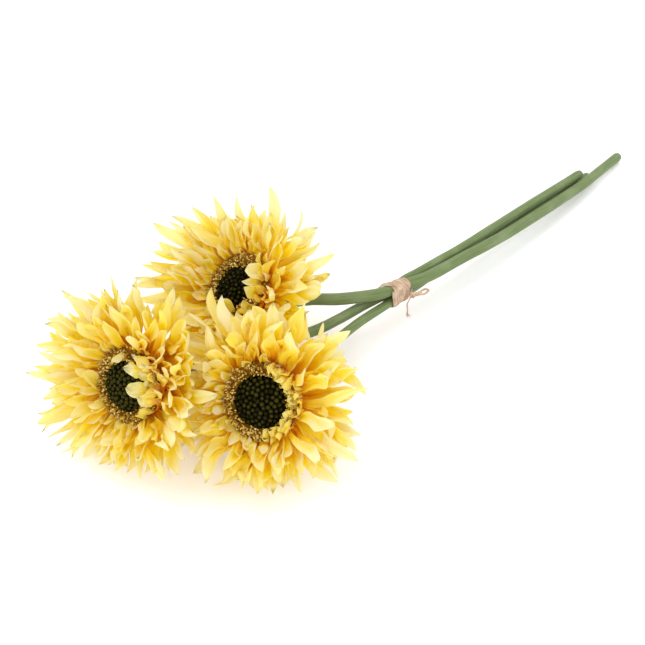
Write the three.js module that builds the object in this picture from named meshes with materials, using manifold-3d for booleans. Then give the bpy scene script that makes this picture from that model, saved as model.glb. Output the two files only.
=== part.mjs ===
// A tied bunch of three yellow gerberas, lying on its side.
// Units are millimetres, +Z is up, and the stems run along +Y.
import * as THREE from 'three';
import { mergeVertices } from 'three/addons/utils/BufferGeometryUtils.js';
import Module from 'manifold-3d';

const wasm = await Module();
wasm.setup();

// Driving sizes.
const STEM_SIDES = 10;
const STEM_STEPS = 30;
const EYE_RADIUS = 15;
const EYE_HEIGHT = 6.5;
const RING_INNER = 15.4;
const RING_OUTER = 20;
const RING_HEIGHT = 5.5;
const CALYX_RADIUS = 12;
const CALYX_DEPTH = 9;
const GAP = 0.4;
const PLATE_THICKNESS = 1.3;
const PETAL_THICKNESS = 1.1;
const FLOOR_SOFTNESS = 5;

// How the petals are layered, from the back of the head to its face. reach is where a petal leaves its
// plate, height is where the plate sits on the axis, and rise is the petal's angle above the plate.
const WHORLS = [
  { name: 'outer', count: 17, reach: 19.4, height: -9.0, rise: -12, length: 38.5, width: 9.0, curl: 8 },
  { name: 'second', count: 16, reach: 19.8, height: -6.8, rise: 4, length: 38.5, width: 9.0, curl: 8 },
  { name: 'third', count: 16, reach: 20.2, height: -4.6, rise: 20, length: 34.5, width: 8.5, curl: 6 },
  { name: 'fourth', count: 15, reach: 20.6, height: -2.4, rise: 38, length: 28.5, width: 8.0, curl: 4 },
  { name: 'inner', count: 18, reach: 20.4, height: -0.2, rise: 58, length: 13, width: 5.5, curl: -10 },
];
const STEEPEST = 80;
// Each petal is made at these shares of its length, after a root that is sunk in the plate.
const PETAL_ROOT = 2.4;
const LONG_STATIONS = [0.01, 0.55, 1];
const SHORT_STATIONS = [0.02, 0.55, 1];

// Each flower faces the way its turn (from -Y towards +X) and tilt (above level) say. Its petals are
// counted round from the top of the head, towards the viewer's left. A press lifts and shortens the
// petals that a neighbour, a stem or the surface under the bunch pushes on.
const FLOWERS = [
  {
    name: 'left', at: [-24.7, -192, 50.5], turn: 11, tilt: 30, seed: 1.7, stemRadius: 3.1,
    presses: [
      { side: 180, spread: 90, lift: 28, shorten: 0.1 },
      { side: 275, spread: 80, lift: 32, shorten: 0.08 },
      { side: 90, spread: 80, lift: 24, shorten: -0.2 },
    ],
    stem: [
      [-28.6, -165.5, 35.0], [-26, -148, 31.5], [-17, -118, 29.6], [-2.7, -81.1, 27.6],
      [-0.9, -62, 25.4], [-0.8, -42.6, 22.9], [1.2, -22, 22.2], [1.5, -3.6, 22.8], [2.7, 3.9, 23.1],
      [4.2, 24.2, 22.7], [5.1, 46.1, 21.2], [5.0, 70.1, 19.6], [4.8, 95.2, 17.9], [4.7, 121.1, 16.1],
      [4.5, 148.4, 13.8], [4.2, 180.6, 11.2],
    ],
  },
  {
    name: 'right', at: [31.9, -149.4, 50.0], turn: 28, tilt: 38, seed: 4.3, stemRadius: 2.8,
    presses: [
      { side: 180, spread: 80, lift: 16, shorten: 0.1 },
      { side: 80, spread: 70, lift: 0, shorten: 0.29 },
      { side: 270, spread: 80, lift: 4, shorten: 0.04 },
      { side: 10, spread: 50, lift: 14, shorten: 0.0 },
    ],
    stem: [
      [21.5, -129, 32.2], [17.4, -115, 28.9], [13.2, -90, 26.9], [10.1, -67.3, 25.2],
      [8.3, -50.7, 23.5], [7.9, -27.4, 21.6], [7.8, -15, 20.6], [5.4, 3, 16.3], [5.0, 20, 15.6],
      [5.4, 40, 14.9], [6.0, 75, 12.7], [5.3, 130, 8.8], [4.2, 180, 4.3], [3.9, 192.5, 3.2],
    ],
  },
  {
    name: 'top', at: [-36.6, -105.8, 55.8], turn: -13, tilt: 52, seed: 7.9, stemRadius: 3.6,
    presses: [
      { side: 215, spread: 75, lift: 40, shorten: 0.05 },
      { side: 110, spread: 90, lift: 32, shorten: -0.12 },
      { side: 300, spread: 60, lift: 0, shorten: -0.1 },
    ],
    stem: [
      [-31.3, -87.3, 34.3], [-28, -77, 31.8], [-20.1, -64.6, 31.1], [-16, -60.2, 31.0],
      [-9.4, -53.2, 31.0], [-1.5, -42.2, 31.0], [4.0, -32.2, 30.4], [6.2, -22.8, 29.3],
      [7.3, -15.7, 28.4], [9.7, -4.4, 26.9], [10.8, 1.9, 26.1], [11.7, 15.5, 24.4], [12.4, 37.4, 22.3],
      [13.7, 59.4, 20.3], [14.5, 83.0, 18.1], [14.3, 108.7, 15.8], [13.5, 145.7, 12.3],
      [11.9, 176.4, 9.3], [9.4, 200, 6.8], [6.2, 228.2, 3.7],
    ],
  },
];

// What moves the middle of the bunch's outline over the origin.
const SHIFT = [5.7, 0.9, 0];

// The raffia tie, where the three stems meet.
const TIE_START = -25.5;
const TIE_END = -10;
const TIE_STATIONS = 5;
const TIE_AROUND = 24;
const TIE_THICKNESS = 1.3;
const TIE_GAP = 0.55;
const KNOT_AT = [15.4, -13.2, 25.0];
const KNOT_RADIUS = 2.1;
const LOOP_ROUTE = [[17.6, -11.4, 25.6], [18.4, -8.8, 25.8], [18.9, -6.2, 25.4], [19.3, -3.4, 24.8]];
const LOOP_RADIUS = 1.3;
const TAIL_ROUTE = [[14.6, -14.0, 22.6], [13.6, -15.0, 17.5], [13.4, -14.2, 11.2], [13.2, -13.4, 4.8]];
const TAIL_RADIUS = 0.6;

const PETAL_MATERIAL = { color: 0xf7d860, roughness: 0.75, metalness: 0 };
const STEM_MATERIAL = { color: 0x7c8f5c, roughness: 0.6, metalness: 0 };
const CALYX_MATERIAL = { color: 0x6f8450, roughness: 0.7, metalness: 0 };
const EYE_MATERIAL = { color: 0x2b3313, roughness: 0.55, metalness: 0 };
const RING_MATERIAL = { color: 0xb79a55, roughness: 0.95, metalness: 0 };
const RAFFIA_MATERIAL = { color: 0xcfa584, roughness: 0.85, metalness: 0 };

const radians = THREE.MathUtils.degToRad;
const lerp = THREE.MathUtils.lerp;

// A fixed number from -1 to 1 for each seed, so that every petal differs a little.
function scatter(seed) {
  const wave = Math.sin(seed * 12.9898 + 4.1414) * 43758.5453;
  return 2 * (wave - Math.floor(wave)) - 1;
}

function named(name, geometry, material) {
  const mesh = new THREE.Mesh(geometry, new THREE.MeshStandardMaterial(material));
  mesh.name = name;
  return mesh;
}

// Keeps only positions, joins shared vertices and drops the triangles that this flattens.
function welded(geometry) {
  const bare = geometry.clone();
  bare.deleteAttribute('normal');
  bare.deleteAttribute('uv');
  const merged = mergeVertices(bare, 1e-4);
  const kept = [];
  const corners = merged.index.array;
  for (let i = 0; i < corners.length; i += 3) {
    const [a, b, c] = corners.slice(i, i + 3);
    if (a !== b && b !== c && c !== a) kept.push(a, b, c);
  }
  merged.setIndex(kept);
  return merged;
}

function solid(geometry) {
  const merged = welded(geometry);
  return new wasm.Manifold(new wasm.Mesh({
    numProp: 3,
    vertProperties: new Float32Array(merged.attributes.position.array),
    triVerts: new Uint32Array(merged.index.array),
  }));
}

function geometryOf(body) {
  const mesh = body.getMesh();
  const geometry = new THREE.BufferGeometry();
  geometry.setAttribute('position', new THREE.BufferAttribute(mesh.vertProperties, 3));
  geometry.setIndex(new THREE.BufferAttribute(mesh.triVerts, 1));
  return geometry;
}

// The head's frame: its axis, and the directions of its top and of the viewer's left.
function headFrame(flower) {
  const turn = radians(flower.turn);
  const tilt = radians(flower.tilt);
  const axis = new THREE.Vector3(
    Math.cos(tilt) * Math.sin(turn), -Math.cos(tilt) * Math.cos(turn), Math.sin(tilt));
  const top = new THREE.Vector3(0, 0, 1).addScaledVector(axis, -axis.z).normalize();
  const left = new THREE.Vector3().crossVectors(axis, top);
  return new THREE.Matrix4().makeBasis(top, left, axis).setPosition(...flower.at);
}

// How strongly a press acts at an angle round the head: 1 at its middle, 0 past its spread.
function pressAt(press, angle) {
  const away = Math.abs(((angle - press.side + 540) % 360) - 180);
  return away < press.spread ? 0.5 + 0.5 * Math.cos(Math.PI * away / press.spread) : 0;
}

// A whorl keeps its order among the others under a press: the lowest rise moves the most.
function pressedRise(flower, rise, angle) {
  const lowest = WHORLS[0].rise;
  const lift = flower.presses.reduce((sum, press) => sum + press.lift * pressAt(press, angle), 0);
  return rise + lift * (STEEPEST - rise) / (STEEPEST - lowest);
}

function pressedLength(flower, length, angle) {
  const cut = flower.presses.reduce((sum, press) => sum + press.shorten * pressAt(press, angle), 0);
  return length * (1 - cut);
}

// A petal's half width along its length: a narrow base, widest past the middle, then a point.
function petalHalfWidth(along, width) {
  const base = 0.42 + 0.58 * Math.sin(Math.min(1, along / 0.58) * Math.PI / 2);
  const closing = Math.max(0, Math.cos((along - 0.58) / 0.42 * Math.PI / 2));
  const tip = along < 0.58 ? 1 : closing ** 0.8;
  return width / 2 * base * tip;
}

// One petal as a folded blade with four sides, in the head's frame.
function petalGeometry(flower, whorl, index) {
  const seed = flower.seed + whorl.height * 3.1 + index * 1.37;
  const spacing = 360 / whorl.count;
  const angle = spacing * (index + 0.2 * scatter(seed)) + whorl.height * 11 + flower.seed * 40;
  const turn = ((angle % 360) + 360) % 360;
  const rise = pressedRise(flower, whorl.rise, turn) + 2.5 * scatter(seed + 11);
  const length = pressedLength(flower, whorl.length * (1 + 0.06 * scatter(seed + 5)), turn);
  const width = whorl.width * (1 + 0.08 * scatter(seed + 8));
  const sweep = 4 * scatter(seed + 17);
  const outward = new THREE.Vector3(Math.cos(radians(turn)), Math.sin(radians(turn)), 0);
  const across = new THREE.Vector3(-outward.y, outward.x, 0);
  const stations = whorl.length > 20 ? LONG_STATIONS : SHORT_STATIONS;
  const blade = new THREE.CylinderGeometry(1, 1, 1, 4, stations.length);
  const place = blade.attributes.position;
  for (let i = 0; i < place.count; i += 1) {
    const station = Math.round((0.5 - place.getY(i)) * stations.length);
    const along = station === 0 ? 0 : stations[station - 1];
    const climb = station === 0 ? 0 : radians(rise + whorl.curl * along);
    const run = station === 0 ? -PETAL_ROOT : length * along;
    const half = petalHalfWidth(along, width);
    const thin = Math.min(1, 0.3 + 2 * (1 - along));
    const lift = 0.28 * half * Math.abs(place.getX(i)) + place.getZ(i) * thin * PETAL_THICKNESS / 2;
    const reach = whorl.reach + run * Math.cos(climb) - lift * Math.sin(climb);
    const point = outward.clone().multiplyScalar(reach);
    point.addScaledVector(across, place.getX(i) * half + sweep * along * along);
    point.z = whorl.height + run * Math.sin(climb) + lift * Math.cos(climb);
    place.setXYZ(i, point.x, point.y, point.z);
  }
  return blade;
}

// The surface under the bunch presses on whatever would reach below it.
function restOnSurface(geometry, frame) {
  const inverse = frame.clone().invert();
  const place = geometry.attributes.position;
  const point = new THREE.Vector3();
  for (let i = 0; i < place.count; i += 1) {
    point.fromBufferAttribute(place, i).applyMatrix4(frame);
    if (point.z < FLOOR_SOFTNESS) {
      point.z = FLOOR_SOFTNESS * Math.exp(point.z / FLOOR_SOFTNESS - 1);
    }
    point.applyMatrix4(inverse);
    place.setXYZ(i, point.x, point.y, point.z);
  }
}

// A whorl of petals, joined by the thin plate that they grow from.
function whorlGeometry(flower, whorl, frame) {
  const plate = new THREE.CylinderGeometry(whorl.reach, whorl.reach, PLATE_THICKNESS, 24);
  plate.rotateX(Math.PI / 2);
  plate.translate(0, 0, whorl.height);
  let body = solid(plate);
  for (let index = 0; index < whorl.count; index += 1) {
    const blade = petalGeometry(flower, whorl, index);
    restOnSurface(blade, frame);
    body = body.add(solid(blade));
  }
  return geometryOf(body);
}

function lathe(profile, segments) {
  const geometry = new THREE.LatheGeometry(profile.map(([x, y]) => new THREE.Vector2(x, y)), segments);
  geometry.rotateX(Math.PI / 2);
  return geometryOf(solid(geometry));
}

// The dark dome in the middle of the face.
function eyeGeometry() {
  const foot = 1.0;
  const profile = [[0, foot], [EYE_RADIUS - 1.5, foot]];
  for (let step = 0; step <= 5; step += 1) {
    const angle = step / 5 * Math.PI / 2;
    profile.push([EYE_RADIUS * Math.cos(angle), foot + 1.5 + EYE_HEIGHT * Math.sin(angle)]);
  }
  profile[profile.length - 1][0] = 0;
  return lathe(profile, 24);
}

// The fuzzy ring of small florets round the eye.
function ringGeometry() {
  const foot = 1.0;
  const top = foot + RING_HEIGHT;
  return lathe([
    [RING_INNER, foot], [RING_OUTER - 1, foot], [RING_OUTER, foot + 2], [RING_OUTER - 0.8, top - 0.8],
    [RING_OUTER - 2.2, top], [RING_INNER + 0.6, top - 0.4], [RING_INNER, top - 1.4], [RING_INNER, foot],
  ], 24);
}

// The green cup behind the petals.
function calyxGeometry(stemRadius) {
  const bottom = calyxFoot();
  const top = bottom + CALYX_DEPTH;
  return lathe([
    [0, bottom], [stemRadius + 0.4, bottom], [stemRadius + 1.6, bottom + 1.4],
    [CALYX_RADIUS * 0.72, bottom + 4], [CALYX_RADIUS * 0.95, bottom + 6.8], [CALYX_RADIUS, top], [0, top],
  ], 20);
}

function calyxFoot() {
  return WHORLS[0].height - PLATE_THICKNESS / 2 - GAP - CALYX_DEPTH;
}

function circleShape(radius, sides) {
  const shape = new THREE.Shape();
  for (let i = 0; i < sides; i += 1) {
    const angle = 2 * Math.PI * i / sides;
    const method = i === 0 ? 'moveTo' : 'lineTo';
    shape[method](radius * Math.cos(angle), radius * Math.sin(angle));
  }
  shape.closePath();
  return shape;
}

function route(points) {
  return new THREE.CatmullRomCurve3(points.map((p) => new THREE.Vector3(...p)), false, 'centripetal');
}

function tube(points, radius, sides, steps) {
  const extrudePath = route(points);
  const geometry = new THREE.ExtrudeGeometry(circleShape(radius, sides), { steps, extrudePath });
  return geometryOf(solid(geometry));
}

// A stem's route: straight out of the back of its head, then through its own points.
function stemRoute(flower, frame) {
  const start = new THREE.Vector3(0, 0, calyxFoot() - 2 * GAP).applyMatrix4(frame);
  return [start.toArray(), ...flower.stem];
}

// The middle of a stem where it crosses the plane of a station across the tie.
function stemCrossing(flower, y) {
  const points = route(flower.stem).getPoints(400);
  const next = points.findIndex((p) => p.y > y);
  const before = points[next - 1];
  return before.clone().lerp(points[next], (y - before.y) / (points[next].y - before.y));
}

// The raffia wound round the stems: a band that hugs them at every station along it.
function bandGeometry() {
  const rows = [];
  for (let station = 0; station < TIE_STATIONS; station += 1) {
    const along = station / (TIE_STATIONS - 1);
    const y = lerp(TIE_START, TIE_END, along);
    const swell = TIE_THICKNESS * (0.75 + 0.25 * Math.sin(Math.PI * along));
    rows.push([y, TIE_GAP, TIE_GAP + swell]);
  }
  const loops = [
    ...rows.map(([y, inner]) => hugging(y, inner)),
    ...rows.reverse().map(([y, , outer]) => hugging(y, outer)),
  ];
  return geometryOf(solid(closedLoops(loops)));
}

// The outline round all three stems where they cross a plane, at a distance from their skins.
function hugging(y, distance) {
  const centres = FLOWERS.map((flower) => stemCrossing(flower, y));
  const outline = [];
  for (let i = 0; i < TIE_AROUND; i += 1) {
    const angle = 2 * Math.PI * i / TIE_AROUND;
    const away = new THREE.Vector3(Math.cos(angle), 0, Math.sin(angle));
    const reach = centres.map((centre, k) => centre.dot(away) + FLOWERS[k].stemRadius);
    const widest = reach.indexOf(Math.max(...reach));
    const point = new THREE.Vector3(centres[widest].x, y, centres[widest].z);
    outline.push(point.addScaledVector(away, FLOWERS[widest].stemRadius + distance));
  }
  return outline;
}

// Joins outlines in turn, the last one back to the first.
function closedLoops(loops) {
  const around = loops[0].length;
  const corners = loops.flat().flatMap((p) => [p.x, p.y, p.z]);
  const triangles = [];
  for (let row = 0; row < loops.length; row += 1) {
    for (let i = 0; i < around; i += 1) {
      const a = row * around + i;
      const b = row * around + (i + 1) % around;
      const c = ((row + 1) % loops.length) * around + (i + 1) % around;
      const d = ((row + 1) % loops.length) * around + i;
      triangles.push(a, b, c, a, c, d);
    }
  }
  const geometry = new THREE.BufferGeometry();
  geometry.setAttribute('position', new THREE.BufferAttribute(new Float32Array(corners), 3));
  geometry.setIndex(triangles);
  return geometry;
}

function knotGeometry() {
  const knot = new THREE.IcosahedronGeometry(KNOT_RADIUS, 1);
  knot.scale(1.15, 1.0, 0.85);
  knot.translate(...KNOT_AT);
  return geometryOf(solid(knot));
}

function flowerGroup(flower) {
  const frame = headFrame(flower);
  const head = new THREE.Group();
  head.applyMatrix4(frame);
  for (const whorl of WHORLS) {
    const name = `${flower.name}_petals_${whorl.name}`;
    head.add(named(name, whorlGeometry(flower, whorl, frame), PETAL_MATERIAL));
  }
  head.add(named(`${flower.name}_eye`, eyeGeometry(), EYE_MATERIAL));
  head.add(named(`${flower.name}_floret_ring`, ringGeometry(), RING_MATERIAL));
  head.add(named(`${flower.name}_calyx`, calyxGeometry(flower.stemRadius), CALYX_MATERIAL));
  const group = new THREE.Group();
  group.add(head);
  const stem = tube(stemRoute(flower, frame), flower.stemRadius, STEM_SIDES, STEM_STEPS);
  group.add(named(`${flower.name}_stem`, stem, STEM_MATERIAL));
  return group;
}

function tieGroup() {
  const group = new THREE.Group();
  group.add(named('raffia_band', bandGeometry(), RAFFIA_MATERIAL));
  group.add(named('raffia_knot', knotGeometry(), RAFFIA_MATERIAL));
  group.add(named('raffia_loop', tube(LOOP_ROUTE, LOOP_RADIUS, 8, 6), RAFFIA_MATERIAL));
  group.add(named('raffia_tail', tube(TAIL_ROUTE, TAIL_RADIUS, 8, 8), RAFFIA_MATERIAL));
  return group;
}

const bunch = new THREE.Group();
bunch.position.set(...SHIFT);
for (const flower of FLOWERS) bunch.add(flowerGroup(flower));
bunch.add(tieGroup());

export default bunch;
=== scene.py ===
"""Looks of a tied bunch of three yellow gerberas that lies on its side. Sizes are in millimetres until a
mesh is made, which turns them into metres."""
import math

import bpy
import numpy as np
from mathutils import Euler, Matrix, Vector
from mathutils.bvhtree import BVHTree


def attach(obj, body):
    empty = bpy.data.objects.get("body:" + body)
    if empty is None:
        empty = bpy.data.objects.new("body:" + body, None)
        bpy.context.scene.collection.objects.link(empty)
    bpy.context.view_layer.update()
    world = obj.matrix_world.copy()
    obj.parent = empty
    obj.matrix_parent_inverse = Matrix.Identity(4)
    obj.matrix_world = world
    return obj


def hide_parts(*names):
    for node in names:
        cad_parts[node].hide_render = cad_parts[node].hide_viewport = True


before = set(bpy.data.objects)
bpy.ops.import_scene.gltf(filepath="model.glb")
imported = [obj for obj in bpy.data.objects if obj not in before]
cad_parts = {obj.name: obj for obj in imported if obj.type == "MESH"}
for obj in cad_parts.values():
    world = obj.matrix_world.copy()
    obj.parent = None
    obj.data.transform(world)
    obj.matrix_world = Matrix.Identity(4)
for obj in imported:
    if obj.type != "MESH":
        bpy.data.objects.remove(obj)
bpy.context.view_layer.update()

MM = 0.001
SHIFT = np.array([5.7, 0.9, 0.0])

# The camera stands where the photograph was taken from. Its focal length and middle are in pixels.
CAMERA_AT = np.array([304.7, -363.1, 448.8])
CAMERA_AZIMUTH = 46
CAMERA_DOWN = 45
CAMERA_SENSOR = 36
PHOTO_SIZE = 645
PHOTO_FOCAL = 1000

# The petals' layers, from the back of a head to its face, as the solid model has them. Each whorl also has
# its number of ruffled petals, which are thin bent ones that make it full.
WHORLS = dict(
    outer=dict(count=17, reach=19.4, height=-9.0, rise=-12, length=38.5, width=9.0, curl=8, ruffle=16),
    second=dict(count=16, reach=19.8, height=-6.8, rise=4, length=38.5, width=9.0, curl=8, ruffle=20),
    third=dict(count=16, reach=20.2, height=-4.6, rise=20, length=34.5, width=8.5, curl=6, ruffle=22),
    fourth=dict(count=15, reach=20.6, height=-2.4, rise=38, length=28.5, width=8.0, curl=4, ruffle=26),
    inner=dict(count=18, reach=20.4, height=-0.2, rise=58, length=13, width=5.5, curl=-10, ruffle=10),
)
STEEPEST = 80
FLOOR_SOFTNESS = 5
CALYX_RADIUS = 12
CALYX_TOP = -10.05
CALYX_DEPTH = 9

# A head's seed varies it. Where the photograph hides its ring, short golden scales fold in over it, and a
# bare stretch has no other short petals than those and the ones read from the photograph.
# A head's eye tone is painted light: it makes the left eye's beads paler, as lit, and the top eye's darker,
# as in shade.
FLOWERS = dict(
    left=dict(
        at=(-24.7, -192, 50.5), turn=11, tilt=30, seed=1.7, stem_radius=(3.1, 3.1),
        ring_inward=2.0, ring_side=95, eye_painted_light=2.0, bare=(235, 330),
        scales=[dict(start=232, stop=345, step=19, rise=100, length=9, height=1.5)],
        presses=[
            dict(side=180, spread=90, lift=28, shorten=0.1),
            dict(side=275, spread=80, lift=32, shorten=0.08),
            dict(side=90, spread=80, lift=24, shorten=-0.2),
        ],
        stem=[
            (-28.6, -165.5, 35.0), (-26, -148, 31.5), (-17, -118, 29.6), (-2.7, -81.1, 27.6),
            (-0.9, -62, 25.4), (-0.8, -42.6, 22.9), (1.2, -22, 22.2), (1.5, -3.6, 22.8), (2.7, 3.9, 23.1),
            (4.2, 24.2, 22.7), (5.1, 46.1, 21.2), (5.0, 70.1, 19.6), (4.8, 95.2, 17.9), (4.7, 121.1, 16.1),
            (4.5, 148.4, 13.8), (4.2, 180.6, 11.2),
        ],
    ),
    right=dict(
        at=(31.9, -149.4, 50.0), turn=28, tilt=38, seed=4.3, stem_radius=(2.8, 2.8),
        ring_inward=0.4, ring_side=120, eye_painted_light=0, bare=(225, 335),
        scales=[
            dict(start=205, stop=352, step=9, rise=118, length=9, height=1.2),
            dict(start=200, stop=350, step=12, rise=92, length=10, height=-0.5),
        ],
        presses=[
            dict(side=180, spread=80, lift=16, shorten=0.1),
            dict(side=80, spread=70, lift=0, shorten=0.29),
            dict(side=270, spread=80, lift=4, shorten=0.04),
            dict(side=10, spread=50, lift=14, shorten=0.0),
        ],
        stem=[
            (21.5, -129, 32.2), (17.4, -115, 28.9), (13.2, -90, 26.9), (10.1, -67.3, 25.2),
            (8.3, -50.7, 23.5), (7.9, -27.4, 21.6), (7.8, -15, 20.6), (5.4, 3, 16.3), (5.0, 20, 15.6),
            (5.4, 40, 14.9), (6.0, 75, 12.7), (5.3, 130, 8.8), (4.2, 180, 4.3), (3.9, 192.5, 3.2),
        ],
    ),
    top=dict(
        at=(-36.6, -105.8, 55.8), turn=-13, tilt=52, seed=7.9, stem_radius=(3.7, 3.4),
        ring_inward=5.0, ring_side=75, eye_painted_light=-0.8, bare=(255, 285),
        scales=[dict(start=235, stop=350, step=17, rise=100, length=9, height=1.5)],
        presses=[
            dict(side=215, spread=75, lift=40, shorten=0.05),
            dict(side=110, spread=90, lift=32, shorten=-0.12),
            dict(side=300, spread=60, lift=0, shorten=-0.1),
        ],
        stem=[
            (-31.3, -87.3, 34.3), (-28, -77, 31.8), (-20.1, -64.6, 31.1), (-16, -60.2, 31.0),
            (-9.4, -53.2, 31.0), (-1.5, -42.2, 31.0), (4.0, -32.2, 30.4), (6.2, -22.8, 29.3),
            (7.3, -15.7, 28.4), (9.7, -4.4, 26.9), (10.8, 1.9, 26.1), (11.7, 15.5, 24.4), (12.4, 37.4, 22.3),
            (13.7, 59.4, 20.3), (14.5, 83.0, 18.1), (14.3, 108.7, 15.8), (13.5, 145.7, 12.3),
            (11.9, 176.4, 9.3), (9.4, 200, 6.8), (6.2, 228.2, 3.7),
        ],
    ),
)

# How petals stand on their heads. Those read from the photograph have their own root, lift and width, and
# their tips are looked for along the camera's rays.
ROOT_REACH = 19.0
READ_LIFT = 6
READ_WIDER = 1.16
LONGEST_PETAL = 44
RAY_SEARCH = 60
RAY_STEP = 0.1
TURNED_BEYOND = 12
MOST_TURN = 35
PETAL_THICKNESS = 0.3
BARE_HEIGHT = -3
CROWDED = 4
COVERED = 16
FILLER_LENGTH = 0.88
RUFFLE_REACH = 19.4
SCALE_REACH = 20.2
SHORT_PETAL = 18
TORN_WIDTH = 0.75
SHORT_GRID = (13, 7)
LONG_GRID = (22, 9)
TORN_GRID = (19, 15)

# The golden-orange at a petal's root, partly its own colour and partly painted shade in the gaps round the
# roots, fades over a root's depth, and painted shade under other petals is found by casting rays.
ROOT_DEPTH = 8
FULL_DEPTH = 24
ROW_STEP = 3
COLUMN_STEP = 2
SHADE_RAY_COUNT = 14
SHADE_RAY_START = 1.2
SHADE_RAY_REACH = 15

# The eye's dome and its beads, and the ring of florets round it.
EYE_RADIUS = 14.6
EYE_FOOT = 2.6
EYE_HEIGHT = 6.5
EYE_BEADS = 112
BEAD_RADIUS = 1.5
BEAD_SINK = 0.9
RING_SPREAD = 6.2
RING_FLORETS = 460
RING_FOOT = 1.2
FLAKE_THICKNESS = 0.16
CALYX_ROWS = [
    dict(count=15, start=0.16, stop=0.62, out=0.35),
    dict(count=19, start=0.36, stop=0.86, out=0.6),
    dict(count=23, start=0.55, stop=1.12, out=0.5),
]
CALYX_SCALE_WIDTH = 2.9

# How many points a ring has, round each kind of body.
EYE_AROUND = 36
STEM_AROUND = 36
CALYX_AROUND = 48
RING_AROUND = 60
CUP_AROUND = 64
GOLDEN_ANGLE = math.pi * (3 - math.sqrt(5))

# The raffia tie. A strand runs round the stems from one angle to another, where 0 faces +X and 90 up.
TIE_SLANT = 0.7
RAFFIA_THICKNESS = 0.34
WRAPS = [
    dict(start=205, stop=205 + 360 * 4.4, y=-24.2, pitch=3.05, width=4.0, distance=0.6),
    dict(start=-60, stop=230, y=-14.0, pitch=2.6, width=2.6, distance=1.0),
    dict(start=250, stop=560, y=-23.0, pitch=4.2, width=2.4, distance=1.05),
    dict(start=15, stop=165, y=-18.6, pitch=-21, width=2.6, distance=1.35),
    dict(start=-35, stop=30, y=-25.2, pitch=-3, width=1.8, distance=0.9),
]
KNOT_AT = np.array([15.4, -13.2, 25.0])
KNOT_TURNS = [
    dict(lean=(20, 65, 10), radius=1.5, width=2.0),
    dict(lean=(80, 20, 40), radius=1.35, width=1.8),
    dict(lean=(-30, 100, -20), radius=1.6, width=1.5),
]
LOOP_FACING = (0.51, -0.49, 0.71)
LOOP_STRANDS = [
    ([(15.9, -12.6, 25.1), (17.2, -8.6, 26.0), (18.1, -4.3, 26.1), (19.3, -2.5, 24.9), (19.5, -5.6, 24.3),
      (18.1, -9.4, 24.8), (16.4, -12.4, 24.6)], 1.3),
    ([(15.6, -12.4, 25.6), (17.3, -9.6, 25.6), (18.4, -7.6, 25.2)], 1.6),
]
TAIL_FACING = (1, -1, 0.2)
TAIL_STRANDS = [
    ([(15.2, -13.4, 24.4), (14.4, -14.2, 21.6), (13.6, -15.0, 17.5), (13.4, -14.2, 11.2),
      (13.2, -13.4, 4.8)], 1.3),
    ([(13.4, -14.5, 12.5), (13.6, -14.0, 8.0), (14.4, -12.7, 6.6), (15.2, -11.6, 6.4)], 0.4),
    ([(13.4, -14.2, 11.0), (13.6, -13.4, 7.0), (14.0, -12.4, 4.2)], 0.4),
    ([(13.5, -14.3, 12.0), (13.0, -14.2, 8.0), (12.8, -14.4, 5.6)], 0.4),
]

# Colours are linear.
PALE_COLOUR = (0.92, 0.893, 0.76)
CREAM_COLOUR = (0.925, 0.875, 0.55)
BUTTER_COLOUR = (0.935, 0.845, 0.22)
GOLD_COLOUR = (0.955, 0.80, 0.01)
AMBER_COLOUR = (0.97, 0.655, 0.001)
ROOT_COLOUR = (0.88, 0.33, 0.001)
GLOW_COLOUR = (0.97, 0.90, 0.02)
PETAL_GLOW = 0.6
OCCLUSION_SHADE_DEPTH = 0.5
SHADE_DEPTH = 0.12
# The eye's gaps are painted shade and its bead tips a painted highlight.
EYE_GAP_SHADE = (0.003, 0.0015, 0.0003)
EYE_DARK = (0.006, 0.005, 0.0006)
EYE_TIP = (0.011, 0.010, 0.001)
EYE_HIGHLIGHT = (0.035, 0.031, 0.004)
RING_GAP_SHADE = (0.15, 0.06, 0.003)
RING_BROWN = (0.26, 0.12, 0.006)
RING_OCHRE = (0.39, 0.21, 0.017)
RING_TAN = (0.56, 0.37, 0.065)
RING_PALE = (0.75, 0.57, 0.22)
STEM_DARK = (0.080, 0.115, 0.034)
STEM_MIDDLE = (0.135, 0.190, 0.066)
STEM_PALE = (0.19, 0.255, 0.10)
STEM_BLOOM = (0.26, 0.31, 0.17)
STEM_CUT = (0.30, 0.34, 0.16)
RAFFIA_DARK = (0.28, 0.155, 0.085)
RAFFIA_MIDDLE = (0.50, 0.355, 0.245)
RAFFIA_PALE = (0.68, 0.54, 0.42)
FLOOR_DARK = (0.95, 0.95, 0.95)
FLOOR_PALE = (0.97, 0.97, 0.97)

# The floor and the lights are in metres.
FLOOR_SIZE = 8
WORLD_LIGHT = 1.37
LIGHTS = [
    dict(name="key", at=(-0.3, -0.3, 1.7), size=0.6, power=4),
    dict(name="fill", at=(0.9, -1.1, 0.9), size=1.2, power=3),
]
LIGHT_AIM = (0, -0.1, 0.03)


def at(root, width, **facts):
    """A petal read from the photograph: its root's angle round the head, its width and its tip's pixel."""
    return dict(root=root, width=width, **facts)


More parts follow.
